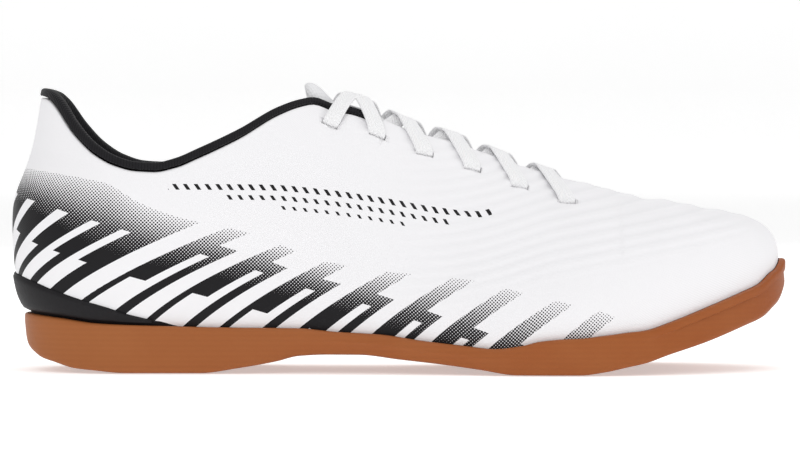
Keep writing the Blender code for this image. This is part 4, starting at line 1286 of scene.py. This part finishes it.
def lacePath(k, side, lift):
    # from inside slot k, over the near eyestay and tongue, to slot k - 1
    size = laceSize
    startX, start = eyeletPlace(k, side)
    finishX, finish = eyeletPlace(k - 1, -side)
    overTop = k == 1
    found = []
    point, normal, along = surfaceAcross(startX, start)
    for height in size["rise"]:
        found.append((point + normal * height, along))
    out = np.cross(along, normal) * (1 if start < 0 else -1)
    found.append((point + normal * size["bend"][0] + out * size["bend"][1], along))
    last = size["steps"] - 1 if overTop else size["steps"]
    for j in range(2, last + 1):
        t = j / size["steps"]
        x = startX + (finishX - startX) * t
        across = start + (finish - start) * t
        point, normal, along = surfaceAcross(x, across)
        normal = softened(normal, upright(x, tongueSize["soften"]), across, tongueSize["soften"])
        height = laceHeight(x, across * side, overTop)
        found.append((point + normal * (height + size["thickness"] / 2 + lift), along))
    if overTop:
        point, normal, along = surfaceAcross(finishX, finish)
        for height in size["fall"]:
            found.append((point + normal * height, along))
    return found


def eased(line, passes):
    # rounds a row of points off, with its ends left in place
    for _ in range(passes):
        line[1:-1] = line[1:-1] * 0.5 + (line[2:] + line[:-2]) * 0.25
    return line


def tape(paths, name, look):
    # flat lace with rounded edges, swept along each path
    size = laceSize
    profile = []
    for angle in np.linspace(0, 2 * math.pi, size["round"], endpoint=False):
        c, s = math.cos(angle), math.sin(angle)
        profile.append([np.sign(v) * abs(v) ** power for v, power in zip((c, s), size["square"])])
    points, faces, layers = [], [], []
    for path in paths:
        middle = eased(np.array([p for p, _ in path]), size["passes"][0])
        run = np.concatenate([[0], np.cumsum(np.linalg.norm(np.diff(middle, axis=0), axis=1))])
        fine = np.linspace(0, run[-1], size["rings"])
        centre = np.column_stack([np.interp(fine, run, middle[:, c]) for c in range(3)])
        centre = eased(centre, size["passes"][1])
        sides = np.array([a for _, a in path])
        sides = np.column_stack([np.interp(fine, run, sides[:, c]) for c in range(3)])
        tangent = np.gradient(centre, axis=0)
        tangent /= np.linalg.norm(tangent, axis=1)[:, None]
        wide = sides - tangent * np.sum(sides * tangent, axis=1)[:, None]
        wide /= np.linalg.norm(wide, axis=1)[:, None]
        thick = np.cross(tangent, wide)
        start = len(points)
        for k in range(len(fine)):
            for a, b in profile:
                aside = wide[k] * a * size["width"] / 2
                points.append(centre[k] + aside + thick[k] * b * size["thickness"] / 2)
                layers.append((fine[k], a * size["width"] / 2, b))
        index = start + np.arange(len(fine) * len(profile)).reshape(len(fine), -1)
        faces += gridFaces(np.column_stack([index, index[:, 0]]))
        faces += [list(index[0])[::-1], list(index[-1])]
    return addMesh(name, points, faces, look, {"flat": np.array(layers)}, smoothAngle=70)


def makeLaceCloth():
    made, shader, tree = startMaterial("laceCloth", {"Sheen Weight": 0.12, "Specular IOR Level": 0.2})
    along, across, _ = attribute(tree, "flat").split()
    slant = (along + across.size()).wave(laceSize["pitch"])
    height = slant * 0.7 + across.wave(laceSize["pitch"]) * 0.4
    base = mixColour(height * 0.4 + 0.5, laceSize["dark"], laceSize["pale"])
    surface = bump(height, laceSize["relief"], 0.8)
    feed(shader, tree, Base_Color=base, Roughness=0.80 + height * 0.05, Normal=surface)
    return made


laceCloth = makeLaceCloth()
for k in range(1, upperSize["eyelets"]):
    paths = [lacePath(k, -1, 0.0), lacePath(k, 1, laceSize["lift"])]
    crossing = tape(paths, "laceCrossing" + str(k), laceCloth)
    addPiece(crossing, "lace_cross_" + str(k))
print("laces made")

# camera square to the outer side, a touch above level
camera = {
    "distance": 1.60, "frameWidth": 0.2957, "aim": (0.0, 0.0, 0.0530), "elevation": 1.2, "sensor": 36.0,
    "farthest": 20.0,
}


def makeCamera():
    lens = bpy.data.cameras.new("sideView")
    lens.sensor_width = camera["sensor"]
    lens.lens = camera["sensor"] * camera["distance"] / camera["frameWidth"]
    lens.clip_end = camera["farthest"]
    eye = bpy.data.objects.new("sideView", lens)
    bpy.context.scene.collection.objects.link(eye)
    angle = math.radians(camera["elevation"])
    aim = Vector(camera["aim"])
    eye.location = aim + Vector((0, -math.cos(angle), math.sin(angle))) * camera["distance"]
    eye.rotation_euler = (aim - eye.location).to_track_quat("-Z", "Y").to_euler()
    bpy.context.scene.camera = eye


makeCamera()

# white studio
studio = {
    # name, place, size, power
    "lamps": (
        ("frontSoftbox", (-0.35, -1.30, 0.95), 1.0, 4.8), ("topSoftbox", (0.15, 0.05, 1.30), 1.3, 4.4),
        ("toeSoftbox", (1.20, -0.30, 0.60), 0.8, 2.0), ("backSoftbox", (-0.30, 1.30, 0.80), 1.0, 4.0),
    ),
    "aim": (0, 0, 0.04), "world": 0.55, "glow": 0.50,
    "floor": (0.86, 0.86, 0.86, 1), "cloud": (0.88, 0.88, 0.88, 1), "halfWidth": 6.0,
    # floor and curved wall from the camera's side to the back: distance back and height
    "floorLine": ((-6.0, -0.0003), (5.0, -0.0003), (5.6, 0.16), (5.9, 0.6), (6.0, 2.0)),
}


def makeStudio():
    for name, place, size, power in studio["lamps"]:
        lamp = bpy.data.lights.new(name, "AREA")
        lamp.shape = "DISK"
        lamp.size = size
        lamp.energy = power
        made = bpy.data.objects.new(name, lamp)
        bpy.context.scene.collection.objects.link(made)
        made.location = place
        made.rotation_euler = (Vector(studio["aim"]) - Vector(place)).to_track_quat("-Z", "Y").to_euler()
    world = bpy.data.worlds.new("studio")
    world.use_nodes = True
    world.node_tree.nodes["Background"].inputs[0].default_value = (1, 1, 1, 1)
    world.node_tree.nodes["Background"].inputs[1].default_value = studio["world"]
    bpy.context.scene.world = world
    bpy.context.scene.view_settings.view_transform = "Standard"
    made, shader, tree = startMaterial("paleFloor", {"Specular IOR Level": 0.1})
    cloud = noise(tree, 2.0, 2.0)
    pale = mixColour(cloud, studio["floor"], studio["cloud"])
    feed(shader, tree, Base_Color=pale, Emission_Color=pale, Roughness=0.9 + cloud * 0.05)
    shader.inputs["Emission Strength"].default_value = studio["glow"]
    line = studio["floorLine"]
    points = [(side * studio["halfWidth"], y, z) for side in (-1, 1) for y, z in line]
    faces = [[k, k + len(line), k + len(line) + 1, k + 1] for k in range(len(line) - 1)]
    floor = addMesh("studioFloor", points, faces, made)
    floor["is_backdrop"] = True


makeStudio()
print("camera and studio ready")

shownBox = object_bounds()
sizes = {
    "cad": [list(map(float, corner)) for corner in cadBox],
    "shown": [list(map(float, corner)) for corner in shownBox],
}
print("cad", sizes["cad"], "shown", sizes["shown"])
